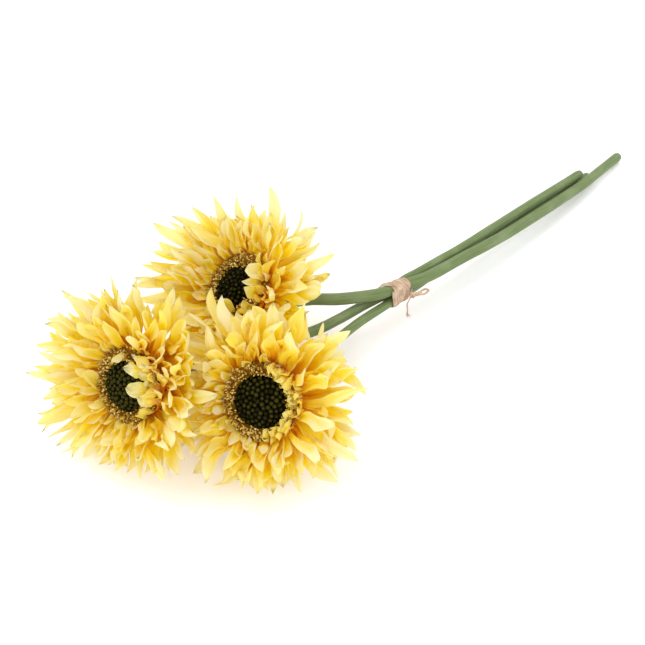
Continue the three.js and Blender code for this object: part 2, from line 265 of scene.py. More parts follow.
READ_PETALS = dict(
    right_outer=[
        at(308, 5.5, tip=(366, 396), sway=30), at(318, 5.5, tip=(358, 372), sway=15),
        at(292, 7, tip=(345, 398)), at(258, 7, tip=(353, 437)), at(231, 6.5, tip=(330, 467)),
        at(225, 5, tip=(339, 478)), at(219, 7.5, tip=(337, 482), sway=-25), at(211, 6, tip=(298, 494)),
        at(199, 6, tip=(272, 495), sway=-20), at(189, 5.5, tip=(254, 482)),
        at(162, 7, tip=(212, 486), sway=25), at(142, 8, tip=(193, 475)),
        at(78, 6, tip=(176, 378), sway=-15), at(62, 7, tip=(190, 311)), at(68, 7, tip=(177, 327)),
        at(50, 6.5, tip=(212, 286)), at(22, 6, tip=(269, 314)), at(354, 6.5, tip=(307, 300)),
        at(344, 6, tip=(308, 312)), at(322, 7.5, tip=(343, 352)), at(335, 6, tip=(314, 338)),
        at(121, 5, tip=(170, 447), sway=10),
    ],
    right_second=[
        at(268, 7, tip=(352, 412)), at(246, 7.5, tip=(356, 452), sway=10), at(214, 6.5, tip=(304, 475)),
        at(206, 6, tip=(289, 485)), at(168, 6, tip=(237, 480)), at(86, 8, tip=(182, 381)),
        at(44, 7, tip=(221, 295)), at(4, 7.5, tip=(274, 301)), at(326, 7.5, tip=(350, 331)),
        at(73, 7, tip=(176, 340)), at(76, 6, tip=(184, 351)), at(66, 6, tip=(194, 334)),
        at(153, 7, tip=(222, 484)),
    ],
    right_third=[
        at(280, 5.5, tip=(365, 389), sway=-22), at(238, 6.5, tip=(359, 462)), at(233, 4.5, tip=(336, 459)),
        at(198, 6, tip=(258, 490)), at(178, 7, tip=(243, 484)), at(148, 8, tip=(205, 485)),
        at(32, 5.5, tip=(263, 309)), at(42, 7.5, tip=(249, 309)), at(58, 5.5, tip=(205, 327), sway=15),
    ],
    right_fourth=[
        at(300, 7.5, tip=(334, 376)), at(256, 7, tip=(337, 427)), at(228, 5.5, tip=(323, 466)),
        at(210, 6.5, tip=(277, 475)), at(128, 5, tip=(196, 431)), at(112, 5, tip=(201, 413)),
        at(316, 6, tip=(328, 374), length=26), at(8, 8.5, tip=(283, 323), length=30),
        at(78, 5, tip=(202, 360)),
    ],
    right_inner=[
        at(312, 7, tip=(304, 370), length=17), at(28, 4.5, tip=(256, 334), length=24),
        at(50, 4, tip=(234, 341), length=20), at(40, 5, tip=(246, 340), length=20),
        at(348, 5, tip=(289, 334), length=24), at(330, 5, tip=(308, 352), length=20),
    ],
    left_outer=[
        at(72, 7, tip=(60, 290), rise=22), at(78, 4, tip=(58, 311)), at(80, 8, tip=(47, 319)),
        at(90, 6, tip=(42, 355), sway=-15), at(98, 8, tip=(25, 372), rise=28), at(108, 7, tip=(51, 388)),
        at(113, 6, tip=(38, 413), sway=12, rise=27), at(122, 7, tip=(41, 433), rise=27),
        at(129, 6, tip=(47, 438), rise=26), at(141, 4, tip=(61, 453), rise=22),
        at(150, 5, tip=(71, 459), sway=-12), at(155, 6, tip=(84, 458)), at(172, 5, tip=(101, 466)),
        at(188, 6, tip=(127, 473)), at(196, 6, tip=(141, 480)), at(204, 7.5, tip=(151, 475)),
        at(224, 9, tip=(178, 475)), at(216, 6, tip=(165, 468)), at(48, 5.5, tip=(115, 271), sway=20),
        at(30, 5.5, tip=(137, 279), sway=25), at(350, 7, tip=(164, 300)), at(5, 5, tip=(147, 304)),
        at(338, 6, tip=(189, 308)), at(60, 7, tip=(88, 298)), at(325, 9, tip=(184, 345)),
        at(312, 8, tip=(190, 372)), at(285, 8, tip=(196, 386)),
    ],
    left_second=[
        at(84, 7, tip=(49, 342)), at(94, 6, tip=(32, 365)), at(117, 8, tip=(37, 424), rise=34),
        at(135, 6, tip=(57, 447)), at(168, 6, tip=(97, 461)), at(177, 6, tip=(109, 467)),
        at(35, 6, tip=(115, 296)), at(24, 6, tip=(132, 289)), at(12, 4.5, tip=(136, 281)),
        at(248, 5.5, tip=(189, 434), sway=-10), at(318, 7, tip=(191, 358), length=34),
        at(332, 8, tip=(172, 338)), at(300, 8, tip=(186, 384)),
    ],
    left_third=[
        at(144, 8.5, tip=(70, 447)), at(183, 7.5, tip=(125, 459)), at(44, 8, tip=(100, 298)),
        at(25, 6.5, tip=(126, 299)), at(352, 6, tip=(159, 310)), at(335, 6.5, tip=(188, 318), length=36),
        at(262, 6, tip=(193, 406), length=36), at(272, 6.5, tip=(206, 395), length=38),
        at(238, 7, tip=(174, 448), length=36), at(245, 4, tip=(174, 430), length=28),
        at(100, 6, tip=(62, 350)),
    ],
    left_fourth=[
        at(60, 7.5, tip=(96, 310), sway=20, rise=42), at(213, 8, tip=(170, 480), sway=-20, rise=28),
        at(222, 5, tip=(160, 443), length=26), at(228, 6.5, tip=(167, 450), length=32),
        at(355, 6.5, tip=(153, 320), length=26), at(322, 7, tip=(172, 366), length=18),
        at(300, 8, tip=(166, 374), length=20), at(331, 8, tip=(163, 350), length=22),
        at(340, 7, tip=(168, 330), length=28), at(308, 5, tip=(166, 381), length=16),
        at(130, 6, tip=(82, 373), length=22), at(200, 4.5, tip=(141, 462), rise=32),
        at(160, 6, tip=(100, 425)),
    ],
    left_inner=[
        at(333, 8, tip=(130, 357), length=17, torn=True), at(320, 8, tip=(122, 367), length=20, torn=True),
        at(292, 8, tip=(125, 388), length=20, torn=True), at(275, 8, tip=(136, 398), length=18, torn=True),
        at(30, 5, tip=(112, 364), length=17), at(305, 9, tip=(137, 376), length=13, torn=True),
        at(318, 9, tip=(141, 363), length=12, torn=True), at(285, 9, tip=(139, 386), length=12, torn=True),
        at(330, 8, tip=(151, 357), length=13, torn=True), at(298, 9, tip=(154, 372), length=14, torn=True),
        at(260, 6, tip=(160, 396), length=12), at(280, 8, tip=(150, 386), length=13, torn=True),
    ],
    top_outer=[
        at(118, 7, tip=(133, 275), rise=32), at(113, 6, tip=(142, 265), rise=31),
        at(98, 6, tip=(151, 251), rise=32), at(92, 7, tip=(157, 241), rise=32),
        at(86, 7.5, tip=(152, 223), rise=36), at(80, 5, tip=(168, 221), rise=34),
        at(76, 8, tip=(174, 215), rise=34), at(71, 3.5, tip=(188, 206), rise=30),
        at(66, 6, tip=(191, 207), rise=32), at(58, 4, tip=(212, 216), rise=22),
        at(46, 6, tip=(234, 196), rise=24), at(22, 5, tip=(263, 209)), at(346, 9, tip=(305, 212)),
        at(340, 7.5, tip=(316, 231)), at(334, 6, tip=(321, 243)), at(326, 6, tip=(333, 275)),
        at(124, 7, tip=(133, 287), rise=30), at(130, 8, tip=(136, 300), rise=28),
        at(318, 8, tip=(326, 277)), at(300, 8, tip=(325, 281)), at(143, 9, tip=(150, 315), rise=20),
        at(150, 9, tip=(165, 322), rise=20),
    ],
    top_second=[
        at(106, 8, tip=(149, 262), rise=38), at(56, 6.5, tip=(215, 195), rise=30),
        at(26, 7, tip=(255, 216)), at(18, 6.5, tip=(272, 186), rise=16), at(353, 5, tip=(284, 210)),
        at(330, 6, tip=(334, 253)), at(136, 8, tip=(143, 304), rise=34), at(76, 6, tip=(183, 218), rise=36),
    ],
    top_third=[
        at(72, 6.5, tip=(183, 224)), at(52, 7, tip=(216, 221)), at(36, 7.5, tip=(257, 200), sway=18),
        at(28, 8, tip=(250, 222)), at(358, 6, tip=(276, 221)), at(340, 7, tip=(302, 236), length=34),
        at(326, 8, tip=(312, 267), length=34), at(46, 7, tip=(222, 217)), at(140, 8, tip=(156, 306)),
    ],
    top_fourth=[
        at(66, 6.5, tip=(190, 228)), at(88, 7, tip=(178, 252)), at(98, 6, tip=(170, 268)),
        at(108, 6.5, tip=(165, 273)), at(42, 5, tip=(227, 213)), at(44, 6, tip=(240, 226)),
        at(320, 5, tip=(308, 277), length=28),
    ],
    top_inner=[
        at(34, 5, tip=(253, 238), length=16), at(20, 5.5, tip=(268, 247), length=14),
        at(335, 9, tip=(244, 271), length=22), at(300, 7, tip=(246, 288), length=18),
        at(215, 8, tip=(222, 296), length=22), at(318, 5, tip=(243, 281), length=18),
    ],
)


def scatter(seed):
    """A fixed number from -1 to 1 for each seed, as in the solid model."""
    wave = math.sin(seed * 12.9898 + 4.1414) * 43758.5453
    return 2 * (wave - math.floor(wave)) - 1


def smoothstep(low, high, x):
    t = np.clip((x - low) / (high - low), 0, 1)
    return t * t * (3 - 2 * t)


def unit(v):
    return v / np.linalg.norm(v, axis=-1, keepdims=True)


def wrapped(angle):
    return (angle + 540) % 360 - 180


def spoke(angle, reach, height):
    """A point of a head's own frame, from its angle round the head."""
    return np.array([math.cos(math.radians(angle)) * reach, math.sin(math.radians(angle)) * reach, height])


def leaning(foot, angle, rise, length):
    """Where a straight petal ends that leaves its foot at this angle round the head with this rise."""
    rise = math.radians(rise)
    return foot + spoke(angle, length * math.cos(rise), length * math.sin(rise))


def round_angles(count):
    """Angles spread evenly round a circle, in radians."""
    return np.linspace(0, 2 * math.pi, count, endpoint=False)


def refined(rows, count, step):
    """Rows of numbers known at every few places, filled in between them."""
    return np.array([np.interp(np.arange(count), np.arange(0, count, step), row) for row in rows])


# Meshes


class Patchwork:
    """Gathers closed pieces of surface, and makes one mesh of them. A triangle repeats its last corner."""

    def __init__(self):
        self.points, self.faces, self.sharp, self.facts = [], [], [], []
        self.count = 0

    def add(self, points, faces, sharp, **facts):
        self.points.append(points)
        self.faces.append(faces + self.count)
        self.sharp.append(np.broadcast_to(sharp, len(points)))
        self.facts.append({k: np.broadcast_to(v, len(points)) for k, v in facts.items()})
        self.count += len(points)

    def add_leaf(self, upper, lower, **facts):
        """A closed leaf of two grids of points that share their outline, with the same facts for both. Only
        the fact under tells them apart."""
        rows, columns = upper.shape[:2]
        inside = slice(1, -1), slice(1, -1)
        below = np.arange(rows * columns).reshape(rows, columns)
        hidden = np.arange((rows - 2) * (columns - 2))
        below[inside] = rows * columns + hidden.reshape(rows - 2, columns - 2)
        points = np.concatenate([upper.reshape(-1, 3), lower[inside].reshape(-1, 3)])
        faces = grid_faces(rows, columns)
        faces = np.concatenate([faces, below.ravel()[faces][:, ::-1]])
        edge = np.ones((rows, columns), bool)
        edge[inside] = False
        facts = {k: np.broadcast_to(v, (rows, columns)) for k, v in dict(facts, sharp=edge).items()}
        facts = {k: np.concatenate([v.ravel(), v[inside].ravel()]) for k, v in facts.items()}
        self.add(points, faces, under=np.arange(len(points)) >= rows * columns, **facts)

    def add_body(self, rings, **facts):
        """A closed body of rings of points that turn left round the way ahead, with a fan at each end."""
        rows, around = rings.shape[:2]
        i = np.arange(around)
        j = (i + 1) % around
        first = np.full(around, rows * around)
        foot = np.stack([j, i, first, first], 1)
        top = np.stack([i + (rows - 1) * around, j + (rows - 1) * around, first + 1, first + 1], 1)
        points = np.concatenate([rings.reshape(-1, 3), rings[:1].mean(1), rings[-1:].mean(1)])
        self.add(points, np.concatenate([grid_faces(rows, around, closed=True), foot, top]), False, **facts)

    def mesh(self, name):
        points = np.concatenate(self.points) * MM
        faces = np.concatenate(self.faces)
        corner = np.ones(faces.shape, bool)
        corner[:, 3] = faces[:, 2] != faces[:, 3]
        loops = faces[corner]
        starts = np.concatenate([[0], np.cumsum(corner.sum(1))[:-1]])
        mesh = bpy.data.meshes.new(name)
        mesh.vertices.add(len(points))
        mesh.vertices.foreach_set("co", points.astype(np.float32).ravel())
        mesh.loops.add(len(loops))
        mesh.loops.foreach_set("vertex_index", loops.astype(np.int32))
        mesh.polygons.add(len(faces))
        mesh.polygons.foreach_set("loop_start", starts.astype(np.int32))
        mesh.update(calc_edges=True)
        mesh.polygons.foreach_set("use_smooth", np.ones(len(faces), bool))
        ends = np.zeros(len(mesh.edges) * 2, np.int32)
        mesh.edges.foreach_get("vertices", ends)
        both = np.concatenate(self.sharp)[ends.reshape(-1, 2)].all(1)
        mesh.attributes.new("sharp_edge", "BOOLEAN", "EDGE").data.foreach_set("value", both)
        for key in self.facts[0]:
            values = np.concatenate([f[key] for f in self.facts]).astype(np.float32)
            mesh.attributes.new(key, "FLOAT", "POINT").data.foreach_set("value", values)
        mesh.update()
        return mesh


def add_object(name, data):
    made = bpy.data.objects.new(name, data)
    bpy.context.scene.collection.objects.link(made)
    return made


def make_piece(name, patches, material, slot, *nodes):
    mesh = patches.mesh(name)
    mesh.materials.append(material)
    piece = add_object(name, mesh)
    if nodes:
        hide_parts(*nodes)
    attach(piece, "root")


def leaf_grid(rows, columns):
    """How far along a leaf its rows are, from 0 to 1, and how far across its columns are, from -1 to 1."""
    return np.linspace(0, 1, rows)[:, None], np.linspace(-1, 1, columns)[None, :]


def grid_faces(rows, columns, closed=False):
    """Faces of a grid of points, whose rows close round on themselves if asked."""
    r, c = np.meshgrid(np.arange(rows - 1), np.arange(columns - (0 if closed else 1)), indexing="ij")
    r, c = r.ravel(), c.ravel()
    d = (c + 1) % columns
    return np.stack([r * columns + c, r * columns + d, (r + 1) * columns + d, (r + 1) * columns + c], 1)


def ring_fact(values, around):
    """A fact for each ring of a closed body, and for its two ends."""
    return np.concatenate([np.repeat(values, around), values[:1], values[-1:]])


def circles(places, sides, overs, radii, around):
    """Rings about places on a line, in the plane of each place's side and over directions."""
    angle = round_angles(around)
    out = np.cos(angle)[None, :, None] * sides[:, None] + np.sin(angle)[None, :, None] * overs[:, None]
    return places[:, None] + out * np.broadcast_to(radii, (len(places), around))[..., None]


def revolved(profile, around, wobble=0):
    """Rings about the head's axis, from a profile of radius and height."""
    radius, height = np.array(profile, float).T
    angle = round_angles(around)
    radius = radius[:, None] * (1 + wobble * np.sin(angle * 7)[None])
    return np.stack([radius * np.cos(angle), radius * np.sin(angle), height[:, None] + 0 * radius], 2)


def resampled(line, far, count):
    """A line's places or directions, known at distances along it, at an even spacing of them."""
    return np.stack([np.interp(np.linspace(0, far[-1], count), far, line[:, k]) for k in range(3)], 1)


def even(line, count):
    """The same line, with its places spaced evenly."""
    far = np.concatenate([[0], np.cumsum(np.linalg.norm(np.diff(line, axis=0), axis=1))])
    return resampled(line, far, count)


def route(points, count):
    """Places evenly along a centripetal Catmull-Rom curve, which is how the solid model draws it."""
    points = np.array(points, float)
    points = np.concatenate([[2 * points[0] - points[1]], points, [2 * points[-1] - points[-2]]])
    span = np.sqrt(np.linalg.norm(np.diff(points, axis=0), axis=1))
    t = np.linspace(0, 1, 24, endpoint=False)[:, None]
    line = []
    for i in range(1, len(points) - 2):
        a, b, c, d = points[i - 1:i + 3]
        before, here, after = span[i - 1:i + 2]
        start = ((b - a) / before - (c - a) / (before + here) + (c - b) / here) * here
        end = ((c - b) / here - (d - b) / (here + after) + (d - c) / after) * here
        cubic = (1 + 2 * t) * (1 - t) ** 2 * b + t * (1 - t) ** 2 * start
        line.append(cubic + t * t * (3 - 2 * t) * c + t * t * (t - 1) * end)
    return even(np.concatenate(line + [points[-2:-1]]), count)


def directions(line, up=(0, 0, 1)):
    """The side and the way over at each place of a line."""
    ahead = unit(np.gradient(line, axis=0))
    side = unit(np.cross(np.array(up, float), ahead))
    return side, np.cross(ahead, side)


def ribbon(line, over, width, thickness, ribs):
    """A closed flat strand along a line, with lengthwise ribs on its outer face."""
    ahead = unit(np.gradient(line, axis=0))
    over = unit(over - ahead * np.sum(over * ahead, 1, keepdims=True))
    side = np.cross(over, ahead)
    across = np.array([-1, -0.8, -0.55, -0.3, -0.05, 0.2, 0.45, 0.7, 1.0])
    height = np.array([0, 0.5, 0.28, 0.55, 0.3, 0.58, 0.26, 0.5, 0]) * ribs + 0.5 * (1 - across**4)
    outer = np.stack([across, height * thickness], 1)
    outline = np.concatenate([outer, np.stack([across[::-1], -0.5 * thickness + 0 * across], 1)])
    wide = np.broadcast_to(width, len(line))[:, None, None] / 2
    rings = line[:, None] + side[:, None] * outline[None, ::-1, :1] * wide
    return rings + over[:, None] * outline[None, ::-1, 1:]


def bead(place, normal, radius, tall, around=10):
    """A drop with its point along the normal, as rings and how far up it each of them is."""
    side = unit(np.cross(normal, [0.31, 0.72, 0.11]))
    over = np.cross(normal, side)
    share = np.array([-0.9, -0.5, 0.0, 0.45, 0.75, 0.93])
    sides, overs = (np.broadcast_to(way, (len(share), 3)) for way in (side, over))
    places = place + np.outer(share * tall, normal)
    return circles(places, sides, overs, radius * np.sqrt(1 - share**2)[:, None], around), share


# Placing


def head_axes(flower):
    """The head's top, the viewer's left and its axis, as columns."""
    turn, tilt = math.radians(flower["turn"]), math.radians(flower["tilt"])
    axis = np.array([math.cos(tilt) * math.sin(turn), -math.cos(tilt) * math.cos(turn), math.sin(tilt)])
    top = unit(np.array([0, 0, 1]) - axis * axis[2])
    return np.stack([top, np.cross(axis, top), axis], 1)


def placed(points, flower):
    """Points of a head's own frame, where they lie in the bunch."""
    return points @ head_axes(flower).T + np.array(flower["at"]) + SHIFT


def rest_on_surface(points):
    """The surface under the bunch presses on whatever would reach below it."""
    low = points[..., 2] < FLOOR_SOFTNESS
    points[..., 2][low] = FLOOR_SOFTNESS * np.exp(points[..., 2][low] / FLOOR_SOFTNESS - 1)
    return points


def camera_ray(pixel):
    """The direction from the camera through a pixel of the photograph."""
    azimuth, down = math.radians(CAMERA_AZIMUTH), math.radians(CAMERA_DOWN)
    right = np.array([math.cos(azimuth), math.sin(azimuth), 0])
    level = np.array([-math.sin(azimuth), math.cos(azimuth), 0])
    ahead = level * math.cos(down) - np.array([0, 0, math.sin(down)])
    x, y = (pixel[0] - PHOTO_SIZE / 2) / PHOTO_FOCAL, (PHOTO_SIZE / 2 - pixel[1]) / PHOTO_FOCAL
    return unit(ahead + right * x + np.cross(right, ahead) * y)


def pressed(flower, rise, length, angle):
    """A petal's rise and length after what presses on it, as in the solid model."""
    lift, cut = 0, 0
    for press in flower["presses"]:
        away = abs(wrapped(angle - press["side"]))
        share = 0.5 + 0.5 * math.cos(math.pi * away / press["spread"]) if away < press["spread"] else 0
        lift += press["lift"] * share
        cut += press["shorten"] * share
    return rise + lift * (STEEPEST - rise) / (STEEPEST - WHORLS["outer"]["rise"]), length * (1 - cut)


# Petals


def read_petal(flower, whorl, root, tip, width, length=None, sway=0, rise=None, torn=False):
    """A petal whose tip lies on the camera's ray through a pixel, where it has the length or the rise that
    was read for it, or the rise that its whorl has there."""
    foot = spoke(root, ROOT_REACH, whorl["height"])
    axes = head_axes(flower)
    camera = (CAMERA_AT - np.array(flower["at"]) - SHIFT) @ axes
    ray = camera_ray(tip) @ axes
    nearest = (foot - camera) @ ray
    places = camera + ray * np.arange(nearest - RAY_SEARCH, nearest + RAY_SEARCH, RAY_STEP)[:, None]
    reach = places - foot
    far = np.linalg.norm(reach, axis=1)
    if length:
        cost = np.abs(far - length) + 100 * (places @ ray > foot @ ray)
    else:
        turn = wrapped(np.degrees(np.arctan2(places[:, 1], places[:, 0])) - root)
        rises = np.degrees(np.arctan2(reach[:, 2], np.hypot(places[:, 0], places[:, 1]) - ROOT_REACH))
        wanted = pressed(flower, whorl["rise"], 1, root)[0] + READ_LIFT if rise is None else rise
        cost = np.abs(rises - wanted) + 3 * np.maximum(0, far - LONGEST_PETAL) + 0.2 * np.abs(turn)
    return dict(
        angle=root, foot=foot, tip=places[np.argmin(cost)], width=width * READ_WIDER, sway=sway, torn=torn,
        seed=int(1000 * root + tip[0] * 7 + tip[1]))


def left_bare(flower, whorl, angle):
    """Whether short petals are left out here, where only those read from the photograph stand."""
    start, stop = flower["bare"]
    return whorl["height"] > BARE_HEIGHT and start < angle < stop


def grown_petals(flower, whorl, read):
    """The solid model's own petals, which fill the space between and behind those that are read."""
    for index in range(whorl["count"]):
        seed = flower["seed"] + whorl["height"] * 3.1 + index * 1.37
        angle = 360 * (index + 0.2 * scatter(seed)) / whorl["count"] + whorl["height"] * 11
        angle = (angle + flower["seed"] * 40) % 360
        near = min(abs(wrapped(p["angle"] - angle)) for p in read)
        if near < CROWDED or left_bare(flower, whorl, angle):
            continue
        long = whorl["length"] * (1 + 0.06 * scatter(seed + 5))
        rise, length = pressed(flower, whorl["rise"], long, angle)
        rise += 2.5 * scatter(seed + 11) + whorl["curl"]
        length *= FILLER_LENGTH if near < COVERED else 1
        foot = spoke(angle, whorl["reach"] - 1, whorl["height"])
        side = np.cross([0, 0, 1], spoke(angle, 1, 0))
        tip = leaning(foot, angle, rise, length) + side * 4 * scatter(seed + 17)
        yield dict(
            angle=angle, foot=foot, tip=tip, curl=whorl["curl"], sway=0, seed=int(abs(seed) * 1000),
            width=whorl["width"] * (1.08 + 0.12 * scatter(seed + 8)))


def ruffle_petals(flower, whorl):
    """Narrow bent petals at uneven places, which make a whorl full."""
    draw = np.random.default_rng(int(flower["seed"] * 100 - whorl["height"] * 10))
    for k in range(whorl["ruffle"]):
        angle = (360 * k / whorl["ruffle"] + draw.normal(0, 7)) % 360
        rise, length = pressed(flower, whorl["rise"] + draw.normal(2, 7), whorl["length"], angle)
        length *= draw.uniform(0.6, 0.95)
        foot = spoke(angle, RUFFLE_REACH, whorl["height"] + draw.normal(0, 0.7))
        tip = leaning(foot, angle + draw.normal(0, 5), rise, length)
        petal = dict(
            angle=angle, foot=foot, tip=tip, curl=draw.normal(4, 14), sway=draw.normal(0, 16),
            width=draw.uniform(4.8, 7.8), seed=int(flower["seed"] * 1000) + k)
        if not left_bare(flower, whorl, angle):
            yield petal


def scale_petals(flower):
    """Short golden scales that stand up round the ring and fold in over it."""
    for row in flower["scales"]:
        for angle in np.arange(row["start"], row["stop"], row["step"]):
            seed = flower["seed"] * 7 + angle * 1.3 + row["rise"]
            angle = angle + 2.5 * scatter(seed)
            rise = row["rise"] + 12 * scatter(seed + 3)
            long = row["length"] * (1 + 0.15 * scatter(seed + 5))
            foot = spoke(angle, SCALE_REACH, row["height"] + 0.6 * scatter(seed + 7))
            yield dict(
                angle=angle, foot=foot, tip=leaning(foot, angle, rise, long), curl=14, scale=True,
                sway=18 * scatter(seed + 9), width=6.2 + scatter(seed + 11), seed=int(abs(seed) * 100))


def petal_line(foot, tip, side, curl, sway, rows):
    """A petal's middle line: curl bends it towards the head's axis, and sway towards its side."""
    chord = tip - foot
    long = np.linalg.norm(chord)
    chord = chord / long
    up = unit(np.cross(chord, side))
    side = np.cross(up, chord)
    bend = up * math.tan(math.radians(curl)) - side * math.tan(math.radians(sway))
    t = np.linspace(0, 1, rows)[:, None]
    near, far = foot + (chord - bend) * long / 3, tip - (chord + bend) * long / 3
    return (1 - t) ** 3 * foot + 3 * (1 - t) ** 2 * t * near + 3 * (1 - t) * t * t * far + t**3 * tip


def petal_outline(along, blunt, waist, peak):
    """How far one edge of a petal stands from its middle, as a share of its greatest, along its length."""
    base = waist + (1 - waist) * np.sin(np.minimum(1, along / peak) * math.pi / 2)
    closing = np.cos(np.clip((along - peak) / (1 - peak), 0, 1) * math.pi / 2) ** 0.72
    return base * np.maximum(closing, 0.035 + blunt * 0.5 * smoothstep(1.02, 0.9, along))


def petal_surface(petal, rows, columns):
    """A petal's two faces, in the head's own frame, and its tone."""
    draw = np.random.default_rng(petal["seed"])
    foot, tip = petal["foot"], petal["tip"]
    long = np.linalg.norm(tip - foot)
    turn = wrapped(math.degrees(math.atan2(tip[1], tip[0])) - petal["angle"])
    turn = np.clip(turn, -MOST_TURN, MOST_TURN)
    turn = turn / 2 if np.hypot(tip[0], tip[1]) > TURNED_BEYOND else 0
    side = np.cross([0, 0, 1], spoke(petal["angle"] + turn, 1, 0))
    curl = petal.get("curl", 6) + draw.normal(0, 9)
    line = petal_line(foot, tip, side, curl, petal["sway"] + draw.normal(0, 9), rows)
    s, t = leaf_grid(rows, columns)
    along = s[:, 0]

    # The middle line ripples, hooks at its tip, swerves to its sides and twists.
    forward = unit(np.gradient(line, axis=0))
    over = unit(np.cross(forward, side))
    ripple = draw.normal(0, 0.05) * np.sin(along * draw.uniform(6, 12) + draw.uniform(0, 3))
    hook = draw.normal(0.02, 0.07) * np.maximum(0, along - 0.68) ** 2 * 10
    swerve = draw.normal(0, 0.03) * np.sin(2 * math.pi * along)
    swerve = swerve + draw.normal(0, 0.012) * np.sin(4 * math.pi * along)
    rise = ripple * along * (1 - along) * 3 + hook
    line = line + over * (rise * long)[:, None] + side * (swerve * long)[:, None]
    sideways = np.cross(over, forward)
    twist = np.radians(draw.normal(0, 38) * along**1.3 + draw.normal(0, 17))[:, None]
    turned = np.cos(twist) * sideways + np.sin(twist) * over
    up = -np.sin(twist) * sideways + np.cos(twist) * over

    blunt = abs(draw.normal(0, 0.4))
    if petal.get("torn"):
        blunt = TORN_WIDTH
    if petal.get("scale"):
        blunt = draw.uniform(0.2, 0.9)
    waist = draw.uniform(0.3, 0.48)
    one = petal_outline(s, blunt, waist, draw.uniform(0.42, 0.8))
    other = petal_outline(s, blunt, waist, draw.uniform(0.42, 0.8))
    half = petal["width"] / 2 * (one + (other - one) * (t + 1) / 2)

    # The section is a channel with a crease down its middle, and edges that wave a little.
    cups = [draw.uniform(0.35, 0.8), draw.uniform(0.7, 1.2), -draw.uniform(0.3, 0.7)]
    cup = draw.choice(cups, p=[0.5, 0.25, 0.25]) * (1.1 - 0.35 * s)
    lean = draw.normal(0, 0.16) * smoothstep(0.1, 0.7, s)
    wave = draw.uniform(0.1, 0.32)
    wave = wave * np.sin(2 * math.pi * (draw.uniform(0.8, 2.0) * s + draw.uniform()) + t * 0.9)
    crumple = 0
    for k in range(4):
        size = draw.normal(0, 0.045)
        crumple = crumple + size * np.sin(draw.uniform(3, 13) * s + draw.uniform(-5, 5) * t + k)
    bow = crumple + cup * (np.abs(t) ** 1.3 - 0.35) + wave * np.abs(t) ** 2.5 + lean * t
    folds = 0.08 * np.cos(2.6 * math.pi * t + draw.uniform(-1, 1))
    folds = folds + 0.03 * np.cos(5.2 * math.pi * t + 3 * s)
    crease = -0.2 * np.exp(-((t / 0.2) ** 2)) * draw.uniform(0, 1) + folds
    lift = half * (bow + crease * smoothstep(0.02, 0.3, s))
    reach = half * t * (1 - 0.2 * cup**2 * t**2)
    teeth = np.abs(np.cos(1.9 * math.pi * t + draw.uniform(0, 2)))
    notch = long * teeth * (0.2 * s**7 if petal.get("torn") else blunt * 0.06 * s**10)
    middle = line[:, None, :] - forward[:, None, :] * notch[..., None]
    upper = middle + turned[:, None, :] * reach[..., None] + up[:, None, :] * lift[..., None]
    thick = PETAL_THICKNESS * (1 - t**2 * 0.8) * (1 - 0.5 * s)
    return upper, upper - up[:, None, :] * thick[..., None], draw.normal(0, 1)


def made_petal(flower, petal):
    """A petal's two faces where they lie, with its size, its tone and whether it is a scale."""
    long = np.linalg.norm(petal["tip"] - petal["foot"])
    rows, columns = SHORT_GRID if long < SHORT_PETAL else LONG_GRID
    if petal.get("torn"):
        rows, columns = TORN_GRID
    upper, lower, tone = petal_surface(petal, rows, columns)
    upper, lower = (rest_on_surface(placed(p, flower)) for p in (upper, lower))
    return upper, lower, long, tone, float(petal.get("scale", False))


def petals_of(name, level):
    """All petals of a flower's whorl, ready to be joined."""
    flower, whorl = FLOWERS[name], WHORLS[level]
    petals = [read_petal(flower, whorl, **p) for p in READ_PETALS[f"{name}_{level}"]]
    petals += [*grown_petals(flower, whorl, petals), *ruffle_petals(flower, whorl)]
    if level == "inner":
        petals += scale_petals(flower)
    return [made_petal(flower, petal) for petal in petals]


class ShadeRays:
    """Painted shade under other petals: the share of rays up and out from a place that soon meet one."""

    def __init__(self, surfaces):
        corners, faces, first = [], [], 0
        for surface in surfaces:
            rows, columns = surface.shape[:2]
            corners.append(surface.reshape(-1, 3))
            faces.append(grid_faces(rows, columns) + first)
            first += rows * columns
        self.tree = BVHTree.FromPolygons(np.concatenate(corners).tolist(), np.concatenate(faces).tolist())
        z = np.linspace(-0.93, 0.93, SHADE_RAY_COUNT)
        level, angle = np.sqrt(1 - z * z), np.arange(SHADE_RAY_COUNT) * GOLDEN_ANGLE
        self.rays = np.stack([level * np.cos(angle), level * np.sin(angle), z], 1)

    def over(self, surface, way):
        """The painted shade at every point of a surface, worked out for some of them and spread to the rest.
        """
        rows, columns = surface.shape[:2]
        some = surface[::ROW_STEP, ::COLUMN_STEP]
        rays = unit(self.rays + way)
        cover = np.zeros(some.shape[:2])
        for place in np.ndindex(cover.shape):
            for ray in rays:
                distance = self.tree.ray_cast(some[place] + ray * SHADE_RAY_START, ray, SHADE_RAY_REACH)[3]
                cover[place] += 0 if distance is None else 1 - distance / SHADE_RAY_REACH
        cover /= len(rays)
        return refined(refined(cover, columns, COLUMN_STEP).T, rows, ROW_STEP).T


def make_petals(material):
    """Every whorl of petals, each joined in one piece."""
    whorls = {(name, level): petals_of(name, level) for name in FLOWERS for level in WHORLS}
    # Painted shade under other petals comes from rays cast among all of them.
    shade_rays = ShadeRays([made[0] for row in whorls.values() for made in row])
    for (name, level), row in whorls.items():
        way = unit(head_axes(FLOWERS[name])[:, 2] + [0, 0, 1])
        patches = Patchwork()
        for made in row:
            upper, lower, long, tone, gold = made
            along, across = leaf_grid(*upper.shape[:2])
            deep = np.exp(-along * max(long, FULL_DEPTH) / ROOT_DEPTH)
            patches.add_leaf(
                upper, lower, along=along, across=across, deep=deep, gold=gold, tone=tone,
                cover=shade_rays.over(upper, way))
        node_name = f"{name}_petals_{level}"
        make_piece(f"{node_name}_fabric", patches, material, "petals", node_name)


# The eye and its ring


